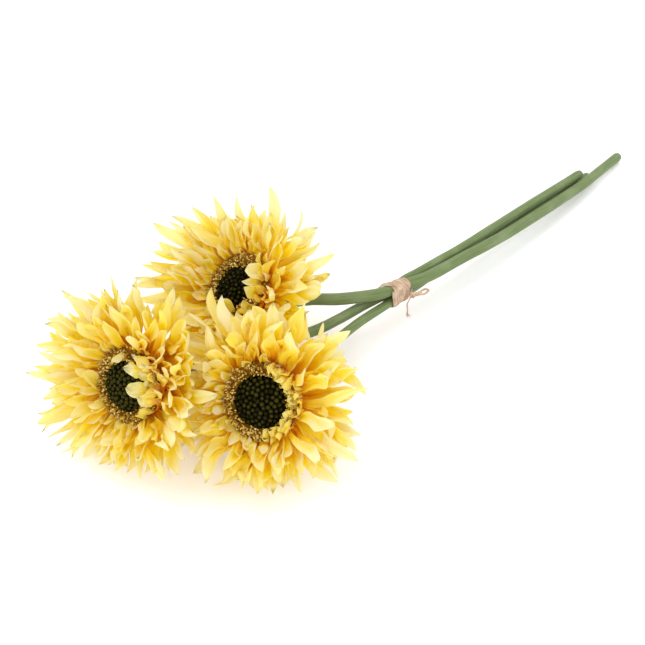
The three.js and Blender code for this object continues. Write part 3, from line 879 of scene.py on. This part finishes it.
def dome_profile(radius, foot, height, steps):
    """Radius and height down a dome, from its top to its foot."""
    angle = np.linspace(0, math.pi / 2, steps)
    return np.stack([radius * np.sin(angle), foot + height * np.cos(angle)], 1)


def dome_places(radius, foot, height, count):
    """Places spread evenly over a dome in a spiral, with the way out of it at each."""
    line = dome_profile(radius, foot, height, 200)
    step = np.linalg.norm(np.diff(line, axis=0), axis=1)
    area = np.concatenate([[0], np.cumsum(step * (line[1:, 0] + line[:-1, 0]))])
    wanted = (np.arange(count) + 0.5) / count * area[-1] * 0.97
    reach, level = (np.interp(wanted, area, line[:, k]) for k in (0, 1))
    angle = np.arange(count) * GOLDEN_ANGLE
    out = np.stack([reach * np.cos(angle), reach * np.sin(angle), level], 1)
    normal = out * [height / radius, height / radius, 0]
    normal[:, 2] = (level - foot) * radius / height
    return out, unit(normal)


def eye_of(flower):
    """A dome set with beads of slightly different sizes."""
    draw = np.random.default_rng(int(flower["seed"] * 10))
    radius = EYE_RADIUS - BEAD_SINK
    dome = dome_profile(radius, EYE_FOOT, EYE_HEIGHT - BEAD_SINK, 10)[::-1]
    dome = np.concatenate([[[radius, RING_FOOT]], dome[:-1], [[0.4, EYE_FOOT + EYE_HEIGHT - BEAD_SINK]]])
    patches = Patchwork()
    # The dome between the beads takes the painted shade of the gaps.
    patches.add_body(placed(revolved(dome, EYE_AROUND), flower), tip=0.0, tone=0.0)
    for place, normal in zip(*dome_places(radius, EYE_FOOT, EYE_HEIGHT - 0.6, EYE_BEADS)):
        place = place + draw.normal(0, 0.1, 3)
        size = BEAD_RADIUS * draw.uniform(0.88, 1.08)
        normal = unit(normal + draw.normal(0, 0.08, 3))
        rings, share = bead(place, normal, size, size * draw.uniform(0.9, 1.15))
        tip = ring_fact(np.clip((share + 0.4) / 1.3, 0, 1), rings.shape[1])
        # Each bead's tone is random about its head's painted light.
        patches.add_body(placed(rings, flower), tip=tip, tone=draw.normal(flower["eye_painted_light"], 1))
    return patches


def floret_places(draw, flower):
    """Places over the ring's rounded bed, thickest at its crest, with the way that each floret leans."""
    for k in range(RING_FLORETS):
        angle = math.degrees(k * GOLDEN_ANGLE) + draw.normal(0, 3)
        roll = draw.uniform(0, 1)
        inward = flower["ring_inward"] * (0.5 + 0.5 * math.cos(math.radians(angle - flower["ring_side"])))
        reach = EYE_RADIUS - 0.2 - inward + roll * (RING_SPREAD + inward)
        height = 5.3 + 1.0 * math.sin(math.pi * min(1, roll * 1.5)) - 3.6 * max(0, roll - 0.45)
        height += 0.4 * max(0, EYE_RADIUS - reach)
        lean = spoke(angle, 1.5 * roll - 0.35 + draw.normal(0, 0.35), 1)
        lean[:2] += draw.normal(0, 0.3, 2)
        yield spoke(angle, reach, height), unit(lean), angle


def crumb(draw, place, lean, angle):
    """A crumpled flake: one of the ragged bits among the florets."""
    rows, columns = 6, 5
    long, wide = draw.uniform(1.6, 3.1), draw.uniform(0.9, 1.7)
    side = unit(np.cross(lean, spoke(angle + draw.normal(0, 60), 1, 0)) + draw.normal(0, 0.1, 3))
    over = np.cross(side, lean)
    s, t = leaf_grid(rows, columns)
    half = wide / 2 * np.sin(math.pi * (0.16 + 0.8 * s)) ** 0.7
    bend = draw.uniform(-0.5, 0.9) * long * s**2 + 0.25 * np.sin(5 * s + 3 * t + draw.uniform(0, 6))
    bow = draw.uniform(-0.3, 0.8) * half * t**2
    ragged = draw.normal(0, 0.14, (rows, columns)) * s
    flake = place + lean * (s * long + ragged)[..., None] + side * (half * t)[..., None]
    upper = flake + over * (bend + bow)[..., None]
    return upper, upper - over * FLAKE_THICKNESS, s


def ring_bed(flower):
    """The rounded bed that the florets stand on, a closed ring."""
    inner, outer = EYE_RADIUS - 0.8, EYE_RADIUS + RING_SPREAD - 0.6
    bed = [
        (inner, RING_FOOT), (outer, RING_FOOT), (outer + 0.3, 3.6), (outer - 1.8, 5.1), (inner + 1.2, 5.0),
        (inner, 4.2),
    ]
    last = grid_faces(2, RING_AROUND, closed=True)
    last = np.where(last >= RING_AROUND, last - RING_AROUND, last + (len(bed) - 1) * RING_AROUND)
    faces = np.concatenate([grid_faces(len(bed), RING_AROUND, closed=True), last])
    return placed(revolved(bed, RING_AROUND, 0.008).reshape(-1, 3), flower), faces, False


def ring_of(flower):
    """Florets on their bed: some are small drops, and the rest are crumpled flakes."""
    draw = np.random.default_rng(int(flower["seed"] * 10) + 5)
    patches = Patchwork()
    # The bed takes the painted shade of the gaps.
    patches.add(*ring_bed(flower), tip=0.0, tone=0.0)
    for place, lean, angle in floret_places(draw, flower):
        if draw.uniform() < 0.45:
            radius = draw.uniform(0.38, 0.72)
            rings, share = bead(place, lean, radius, radius * draw.uniform(1.4, 2.6), 7)
            rings = placed(rings + draw.normal(0, 0.07, rings.shape), flower)
            tip = ring_fact(np.clip((share + 0.6) / 1.5, 0, 1), rings.shape[1])
            patches.add_body(rings, tip=tip, tone=draw.normal(0, 1))
        else:
            upper, lower, tip = crumb(draw, place - lean * 0.6, lean, angle)
            upper, lower = placed(upper, flower), placed(lower, flower)
            patches.add_leaf(upper, lower, tip=tip, tone=draw.normal(0, 1))
    return patches


# Behind the petals


def cup_of(flower):
    """The cup that the petals grow from, coloured dark orange-brown as painted shade in the gaps between the
    ring and the petals.
    """
    profile = [
        (11.0, CALYX_TOP + 0.5), (18.9, CALYX_TOP + 0.6), (19.4, CALYX_TOP + 1.6), (19.6, -5), (19.5, -1),
        (19.2, 1.4), (14.5, 1.9), (10, 1.6),
    ]
    patches = Patchwork()
    patches.add_body(placed(revolved(profile, CUP_AROUND, 0.006), flower))
    return patches


def calyx_of(flower):
    """The green cup behind the petals, under three rows of pointed scales."""
    draw = np.random.default_rng(int(flower["seed"] * 10) + 9)
    patches = Patchwork()
    neck = flower["stem_radius"][0]
    foot = CALYX_TOP - CALYX_DEPTH
    profile = np.array([
        (neck + 0.2, foot), (neck + 0.9, foot + 0.5), (neck + 2.0, foot + 1.5),
        (CALYX_RADIUS * 0.66, foot + 3.4), (CALYX_RADIUS * 0.84, foot + 5.2),
        (CALYX_RADIUS * 0.95, foot + 7.1), (CALYX_RADIUS, foot + 9.4),
    ])
    rings = placed(revolved(profile, CALYX_AROUND, 0.004), flower)
    patches.add_body(rings, along=ring_fact(np.linspace(0, 0.3, len(profile)), CALYX_AROUND), tone=0.0)
    far = np.linspace(0, 1, len(profile))
    s, t = leaf_grid(9, 5)
    half = CALYX_SCALE_WIDTH / 2 * np.sin(math.pi * (0.22 + 0.76 * s)) ** 0.8
    for level, row in enumerate(CALYX_ROWS):
        for k in range(row["count"]):
            angle = 360 * (k + 0.5 * (level % 2)) / row["count"] + draw.normal(0, 1.5)
            place = row["start"] + (row["stop"] - row["start"]) * s * draw.uniform(0.9, 1.05)
            proud = row["out"] * np.sin(math.pi * np.minimum(1, s * 1.1) * 0.6) + 0.15
            reach = np.interp(place, far, profile[:, 0]) + proud
            height = np.interp(place, far, profile[:, 1]) + np.maximum(0, place - 1) * 6
            spin = math.radians(angle) + half * t / reach
            bow = reach - 0.22 * np.abs(t) * half
            upper = np.stack([bow * np.cos(spin), bow * np.sin(spin), height + 0 * spin], 2)
            lower = upper * [0.98, 0.98, 1]
            patches.add_leaf(
                placed(lower, flower), placed(upper, flower), along=0.3 + 0.7 * s, tone=draw.normal(0, 1))
    return patches


def stem_line(flower):
    start = placed(np.array([0, 0, CALYX_TOP - CALYX_DEPTH + 0.6]), flower) - SHIFT
    return route([start] + flower["stem"], 150) + SHIFT


def stem_of(flower):
    """A stem with faint lengthwise ridges, cut off square with a rounded rim."""
    line = stem_line(flower)
    along = np.linspace(0, 1, len(line))
    radius = np.interp(along, (0, 1), flower["stem_radius"])
    radius *= 1 + 0.012 * np.sin(along * 37 + flower["seed"]) + 0.008 * np.sin(along * 91)
    angle = round_angles(STEM_AROUND)
    ridges = 0.055 * np.cos(7 * angle + flower["seed"]) + 0.035 * np.cos(13 * angle + 2 * flower["seed"])
    radii = radius[:, None] + ridges[None] * smoothstep(0, 0.1, along)[:, None]
    radii[-1] -= 0.35
    radii[0] *= 0.9
    rings = circles(line, *directions(line), radii, STEM_AROUND)
    rings = np.concatenate([rings, (rings[-1:] - line[-1]) * 0.55 + line[-1]])
    patches = Patchwork()
    patches.add_body(
        rings, along=ring_fact(np.append(along * 200, 201), STEM_AROUND),
        around=np.append(np.tile(angle, len(rings)), [0, 0]),
        cut=ring_fact(np.append(np.zeros(len(line)), 1), STEM_AROUND), tone=flower["seed"])
    return patches


# The raffia tie


def stem_crossing(flower, y):
    """Where a stem crosses the plane across the bunch at a place along it."""
    line = stem_line(flower) - SHIFT
    line = line[np.argmax(line[:, 1] > y - 20):]
    return np.array([np.interp(y, line[:, 1], line[:, 0]), np.interp(y, line[:, 1], line[:, 2])])


def round_stems(angle, y, distance):
    """A point of the outline round all three stems, facing an angle in the plane across them."""
    away = np.array([math.cos(angle), math.sin(angle)])
    middle, radius = max(
        ((stem_crossing(f, y), sum(f["stem_radius"]) / 2) for f in FLOWERS.values()),
        key=lambda stem: stem[0] @ away + stem[1])
    x, z = middle + away * (radius + distance)
    return np.array([x, y, z]), np.array([away[0], 0, away[1]])


def wound_strand(draw, start, stop, y, pitch, width, distance):
    """A flat strand wound round the stems, from one angle to another."""
    angles = np.linspace(math.radians(start), math.radians(stop), max(12, int(abs(stop - start) / 6)))
    turns = (angles - angles[0]) / (2 * math.pi)
    ys = y + pitch * turns + TIE_SLANT * np.cos(angles - math.radians(35))
    far = distance + 0.12 * np.sin(angles * 2.3 + y)
    both = [round_stems(*place) for place in zip(angles, ys, far)]
    line, over = (np.array(part) for part in zip(*both))
    share = np.linspace(0, 1, len(line) * 2)
    over = resampled(over, np.linspace(0, 1, len(line)), len(share))
    line = even(line, len(share))
    wide = width * (1 + 0.12 * np.sin(share * 21 + y) + 0.05 * draw.normal())
    wide = wide * np.minimum(1, 0.35 + 8 * np.minimum(share, 1 - share))
    return ribbon(line + SHIFT, over, wide, RAFFIA_THICKNESS, 0.8)


def free_strand(points, width, count, facing, wave, phase=0.0):
    """A flat strand through points in the air, which may turn over as it goes."""
    line = route(points, count) + SHIFT
    spin = wave * np.sin(np.linspace(0, 1, count) * 7 + phase)
    side, top = directions(line, facing)
    return ribbon(line, np.cos(spin)[:, None] * top + np.sin(spin)[:, None] * side, width, 0.3, 0.7)


def wraps(draw):
    for wrap in WRAPS:
        yield wound_strand(draw, **wrap)


def knot_strands(_):
    """Three crossed turns round a small core."""
    angle = np.linspace(-0.4, 2 * math.pi + 0.2, 40)
    for k, bend in enumerate(KNOT_TURNS):
        x, y = np.cos(angle) * bend["radius"], np.sin(angle) * bend["radius"] * 0.75
        flat = np.stack([x, y, 0.7 * np.sin(angle + k)], 1)
        turn = np.array(Euler([math.radians(v) for v in bend["lean"]]).to_matrix())
        line = flat @ turn.T + KNOT_AT + SHIFT
        yield ribbon(line, unit(line - KNOT_AT - SHIFT), bend["width"], 0.5, 0.7)
    yield bead(KNOT_AT + SHIFT, unit(np.array([1.0, 0.4, 0.3])), radius=1.35, tall=1.6, around=12)[0]


def loop_strands(_):
    for points, width in LOOP_STRANDS:
        yield free_strand(points, width, 44, LOOP_FACING, 0.5)


def tail_strands(_):
    """A tail that frays in three and narrows to its ends."""
    for k, (points, width) in enumerate(TAIL_STRANDS):
        yield free_strand(points, width * np.linspace(1, 0.5, 40), 40, TAIL_FACING, 0.9, k)


def make_tie(raffia):
    pieces = dict(
        raffia_band=("raffia_wraps", wraps), raffia_knot=("raffia_knot_strands", knot_strands),
        raffia_loop=("raffia_loop_strands", loop_strands), raffia_tail=("raffia_tail_strands", tail_strands))
    for seed, (node_name, (name, strands)) in enumerate(pieces.items(), 31):
        draw = np.random.default_rng(seed)
        patches = Patchwork()
        for rings in strands(draw):
            across = np.tile(np.linspace(0, 1, rings.shape[1]), len(rings))
            patches.add_body(
                rings, along=ring_fact(np.linspace(0, 1, len(rings)), rings.shape[1]),
                across=np.append(across, [0.5, 0.5]), tone=draw.normal(0, 1))
        make_piece(name, patches, raffia, "raffia", node_name)


# Materials


class Look:
    """A material in the making, with the nodes that it is made of."""

    def __init__(self, name):
        self.material = bpy.data.materials.new(name)
        self.material.use_nodes = True
        self.tree = self.material.node_tree
        self.shader = self.tree.nodes["Principled BSDF"]

    def fill(self, socket, value):
        """Gives a socket a link, a colour or a number."""
        if isinstance(value, bpy.types.NodeSocket):
            self.tree.links.new(value, socket)
        elif isinstance(value, tuple) and len(value) == 3 and socket.type == "RGBA":
            socket.default_value = (*value, 1)
        else:
            socket.default_value = value

    def node(self, kind, **values):
        """A node with its settings and its sockets' values or links, by name."""
        made = self.tree.nodes.new(kind)
        for key, value in values.items():
            if hasattr(made, key):
                setattr(made, key, value)
            else:
                self.fill(made.inputs[key], value)
        return made

    def filled(self, made, *values):
        """A node's first output, after its sockets are given values in their order."""
        for socket, value in zip(made.inputs, values):
            self.fill(socket, value)
        return made.outputs[0]

    def facts(self, *names):
        """Numbers that the mesh holds at each of its points."""
        return [self.node("ShaderNodeAttribute", attribute_name=name).outputs["Fac"] for name in names]

    def maths(self, operation, *values):
        return self.filled(self.node("ShaderNodeMath", operation=operation), *values)

    def times(self, a, b):
        return self.maths("MULTIPLY", a, b)

    def plus(self, whole, part, share):
        """A share of a part, added to a whole."""
        return self.maths("MULTIPLY_ADD", part, share, whole)

    def stirred(self, whole, noise, share):
        """A share of a noise, which goes up and down about its middle, added to a whole."""
        return self.plus(whole, self.maths("SUBTRACT", noise, 0.5), share)

    def between(self, value, low, high, new_low=0.0, new_high=1.0):
        """A smooth step from one number to another."""
        made = self.node("ShaderNodeMapRange", interpolation_type="SMOOTHSTEP")
        return self.filled(made, value, low, high, new_low, new_high)

    def stretched(self, *pairs):
        """A place whose x, y and z are each a number times its stretch."""
        return self.filled(self.node("ShaderNodeCombineXYZ"), *(self.times(*pair) for pair in pairs))

    def noise(self, scale, detail=2.0, place=None):
        """Noise at a place, or at the object's own place."""
        if place is None:
            place = self.node("ShaderNodeTexCoord").outputs["Object"]
        return self.node("ShaderNodeTexNoise", Vector=place, Scale=scale, Detail=detail).outputs["Fac"]

    def ramp(self, factor, *stops):
        made = self.node("ShaderNodeValToRGB", Fac=factor)
        elements = made.color_ramp.elements
        while len(elements) < len(stops):
            elements.new(0.5)
        for element, (place, colour) in zip(elements, stops):
            element.position = place
            element.color = (*colour, 1)
        return made.outputs["Color"]

    def mixed(self, factor, a, b):
        made = self.node("ShaderNodeMix", data_type="RGBA", blend_type="MIX")
        for index, value in ((0, factor), (6, a), (7, b)):
            self.fill(made.inputs[index], value)
        return made.outputs[2]

    def finish(self, colour, roughness, height, strength, distance, specular=0.3):
        """Sets the surface's colour and gloss, and its relief from a height."""
        self.fill(self.shader.inputs["Base Color"], colour)
        self.shader.inputs["Roughness"].default_value = roughness
        self.shader.inputs["Specular IOR Level"].default_value = specular
        bump = self.node("ShaderNodeBump", Strength=strength, Distance=distance, Height=height)
        self.tree.links.new(bump.outputs[0], self.shader.inputs["Normal"])
        return self.material


def petal_material():
    """Fabric petals: cream at the tip, and golden to orange at the root, partly their own colour and partly
    painted shade in the gaps round the roots. Painted shade makes them golden under other petals. Light that
    comes through a petal takes a richer colour the deeper in the head it is."""
    look = Look("petal fabric")
    along, across, deep, under, gold, tone, cover = look.facts(
        "along", "across", "deep", "under", "gold", "tone", "cover")
    middle_far = look.maths("ABSOLUTE", across)
    streaks = look.noise(1.5, 3.0, look.stretched((along, 1.4), (across, 4.2), (tone, 7.0)))
    # The root's golden-orange is partly the petal's own colour and partly painted shade in the gaps round
    # the roots.
    depth = look.maths("MAXIMUM", look.times(deep, 0.8), look.plus(0.15, along, -0.15))
    depth = look.stirred(depth, streaks, -0.24)
    depth = look.plus(depth, tone, -0.035)
    depth = look.plus(depth, gold, 0.2)
    # Painted shade: petals turn golden where other petals hang over them, less so towards their tips.
    covered = look.times(cover, look.between(along, 0.5, 1.0, 1.0, 0.6))
    depth = look.maths("ADD", look.between(covered, 0.1, 0.65, 0.0, OCCLUSION_SHADE_DEPTH), depth)
    # Painted shade along each petal's middle crease.
    depth = look.maths("ADD", look.between(middle_far, 0.0, 0.3, 0.03, 0.0), depth)
    # Painted shade: faces that turn down, away from the light, turn more golden.
    normal = look.node("ShaderNodeNewGeometry").outputs["Normal"]
    upward = look.node("ShaderNodeSeparateXYZ", Vector=normal).outputs["Z"]
    depth = look.maths("ADD", look.between(upward, 0.75, -0.35, 0.0, SHADE_DEPTH), depth)
    base = look.ramp(
        depth, (0.0, PALE_COLOUR), (0.08, CREAM_COLOUR), (0.21, BUTTER_COLOUR), (0.45, GOLD_COLOUR),
        (0.74, AMBER_COLOUR), (1.0, ROOT_COLOUR))
    # Painted highlight: the edges of petals that lie out of the head's depth turn pale.
    rim = look.times(look.between(middle_far, 0.5, 1.0, 0.0, 0.35), look.between(depth, 0.75, 0.3))
    base = look.mixed(rim, base, PALE_COLOUR)
    base = look.mixed(look.times(under, 0.25), base, CREAM_COLOUR)
    base = look.mixed(look.between(look.noise(140.0), 0.45, 0.75, 0.0, 0.22), base, BUTTER_COLOUR)
    ribs = look.noise(1.0, 2.0, look.stretched((along, 1.1), (across, 8.0), (tone, 3.0)))
    ribs = look.times(ribs, look.between(along, 0.6, 0.95, 1.0, 0.0))
    look.finish(base, 0.7, look.plus(ribs, look.noise(2600.0, 1.0), 0.2), 0.3, 0.0005, 0.25)
    look.shader.inputs["Sheen Weight"].default_value = 0.1
    richer = look.between(depth, 0.05, 0.5, 0.2, 0.95)
    glow = look.node("ShaderNodeBsdfTranslucent", Color=look.mixed(richer, base, GLOW_COLOUR))
    both = look.filled(
        look.node("ShaderNodeMixShader"), PETAL_GLOW, look.shader.outputs[0], glow.outputs[0])
    look.tree.links.new(both, look.tree.nodes["Material Output"].inputs["Surface"])
    return look.material


def bead_material():
    """Dark green-black beads, with a painted highlight that makes their tips paler and greener, and painted
    shade in the gaps between them.
    """
    look = Look("eye beads")
    tip, tone = look.facts("tip", "tone")
    fine = look.noise(1800.0)
    height = look.stirred(look.plus(tip, tone, 0.07), fine, 0.25)
    colour = look.ramp(height, (0.2, EYE_GAP_SHADE), (0.62, EYE_DARK), (0.92, EYE_TIP), (1.0, EYE_HIGHLIGHT))
    return look.finish(colour, 0.6, fine, 0.25, 0.0004, 0.03)


def floret_material():
    """Ragged tan florets, with painted shade that makes their feet, their bed and the gaps between them dark
    brown.
    """
    look = Look("florets")
    tip, tone = look.facts("tip", "tone")
    fine = look.noise(1500.0, 3.0)
    height = look.stirred(look.plus(tip, tone, 0.13), fine, 0.5)
    height = look.stirred(height, look.noise(60.0, 1.0), 0.5)
    colour = look.ramp(
        height, (0.0, RING_GAP_SHADE), (0.28, RING_BROWN), (0.6, RING_OCHRE), (0.88, RING_TAN), (1.0, RING_PALE))
    return look.finish(colour, 0.85, fine, 0.5, 0.0004, 0.1)


def cup_shade_material():
    # Painted shade: the cup's dark orange-brown shows in the gaps between the ring and the petals.
    look = Look("receptacle_painted_shade")
    fine = look.noise(500.0, 3.0)
    colour = look.ramp(fine, (0.3, RING_GAP_SHADE), (0.55, ROOT_COLOUR), (0.75, AMBER_COLOUR))
    return look.finish(colour, 0.85, fine, 0.6, 0.0008)


def stem_material():
    """Matte sage green with lengthwise streaks, a faint bloom and a paler cut end."""
    look = Look("stem")
    along, around, cut = look.facts("along", "around", "cut")
    level, upright = look.maths("COSINE", around), look.maths("SINE", around)
    streaks = look.noise(2.4, 3.0, look.stretched((level, 6.0), (upright, 6.0), (along, 0.035)))
    speck = look.noise(900.0)
    colour = look.ramp(streaks, (0.3, STEM_DARK), (0.52, STEM_MIDDLE), (0.75, STEM_PALE))
    colour = look.mixed(look.between(look.noise(55.0, 3.0), 0.42, 0.72, 0.0, 0.35), colour, STEM_BLOOM)
    colour = look.mixed(look.between(speck, 0.66, 0.74, 0.0, 0.3), colour, STEM_DARK)
    colour = look.mixed(look.times(cut, 0.8), colour, STEM_CUT)
    return look.finish(colour, 0.58, look.plus(streaks, speck, 0.3), 0.35, 0.0005, 0.35)


def calyx_material():
    """Sage green scales, darker at their roots and paler at their points."""
    look = Look("calyx")
    along, tone = look.facts("along", "tone")
    fine = look.noise(700.0, 3.0)
    height = look.stirred(look.plus(along, tone, 0.06), fine, 0.3)
    colour = look.ramp(height, (0.0, STEM_DARK), (0.45, STEM_MIDDLE), (0.9, STEM_PALE), (1.0, STEM_BLOOM))
    return look.finish(colour, 0.65, fine, 0.35, 0.0006)


def raffia_material():
    """Dry palm fibre: pinkish tan, with fine lengthwise streaks."""
    look = Look("raffia")
    along, across, tone = look.facts("along", "across", "tone")
    fibres = look.noise(1.0, 3.0, look.stretched((along, 5.0), (across, 26.0), (tone, 1.0)))
    height = look.plus(look.stirred(fibres, look.noise(260.0), 0.5), tone, 0.03)
    colour = look.ramp(height, (0.25, RAFFIA_DARK), (0.5, RAFFIA_MIDDLE), (0.72, RAFFIA_PALE))
    return look.finish(colour, 0.75, fibres, 0.6, 0.0005)


def floor_material():
    look = Look("floor")
    fine = look.noise(8.0)
    return look.finish(look.ramp(fine, (0.3, FLOOR_DARK), (0.7, FLOOR_PALE)), 0.9, fine, 0.02, 0.001, 0.1)


# The bunch, its floor, light and camera


def make_flowers():
    cup, eye, florets, calyx, stem = (
        cup_shade_material(), bead_material(), floret_material(), calyx_material(), stem_material())
    for name, flower in FLOWERS.items():
        make_piece(f"{name}_receptacle", cup_of(flower), cup, "florets")
        make_piece(f"{name}_eye_beads", eye_of(flower), eye, "eye", f"{name}_eye")
        make_piece(f"{name}_florets", ring_of(flower), florets, "florets", f"{name}_floret_ring")
        make_piece(f"{name}_calyx_scales", calyx_of(flower), calyx, "calyx", f"{name}_calyx")
        make_piece(f"{name}_stem_ridged", stem_of(flower), stem, "stem", f"{name}_stem")


def make_floor():
    bpy.ops.mesh.primitive_plane_add(size=FLOOR_SIZE, location=(0, 0, 0))
    floor = bpy.context.object
    floor.name = "floor"
    floor.data.materials.append(floor_material())


def make_light(name, at, size, power):
    data = bpy.data.lights.new(name, "AREA")
    data.size = size
    data.energy = power
    light = add_object(name, data)
    light.location = at
    light.rotation_euler = (Vector(LIGHT_AIM) - Vector(at)).to_track_quat("-Z", "Y").to_euler()


def make_camera():
    data = bpy.data.cameras.new("camera")
    data.sensor_width = CAMERA_SENSOR
    data.lens = CAMERA_SENSOR * PHOTO_FOCAL / PHOTO_SIZE
    data.clip_start = 0.01
    camera = add_object("camera", data)
    camera.location = Vector(CAMERA_AT) * MM
    camera.rotation_euler = Euler((math.radians(90 - CAMERA_DOWN), 0, math.radians(CAMERA_AZIMUTH)))
    bpy.context.scene.camera = camera


def make_world():
    world = bpy.data.worlds.new("studio")
    world.use_nodes = True
    background = world.node_tree.nodes["Background"]
    background.inputs["Color"].default_value = (1, 1, 1, 1)
    background.inputs["Strength"].default_value = WORLD_LIGHT
    bpy.context.scene.world = world


make_camera()
make_petals(petal_material())
make_flowers()
make_tie(raffia_material())
make_floor()
make_world()
for light in LIGHTS:
    make_light(**light)
bpy.context.scene.view_settings.view_transform = "Standard"
bpy.context.scene.cycles.diffuse_bounces = 12
bpy.context.scene.cycles.transmission_bounces = 16
bpy.context.scene.cycles.max_bounces = 24
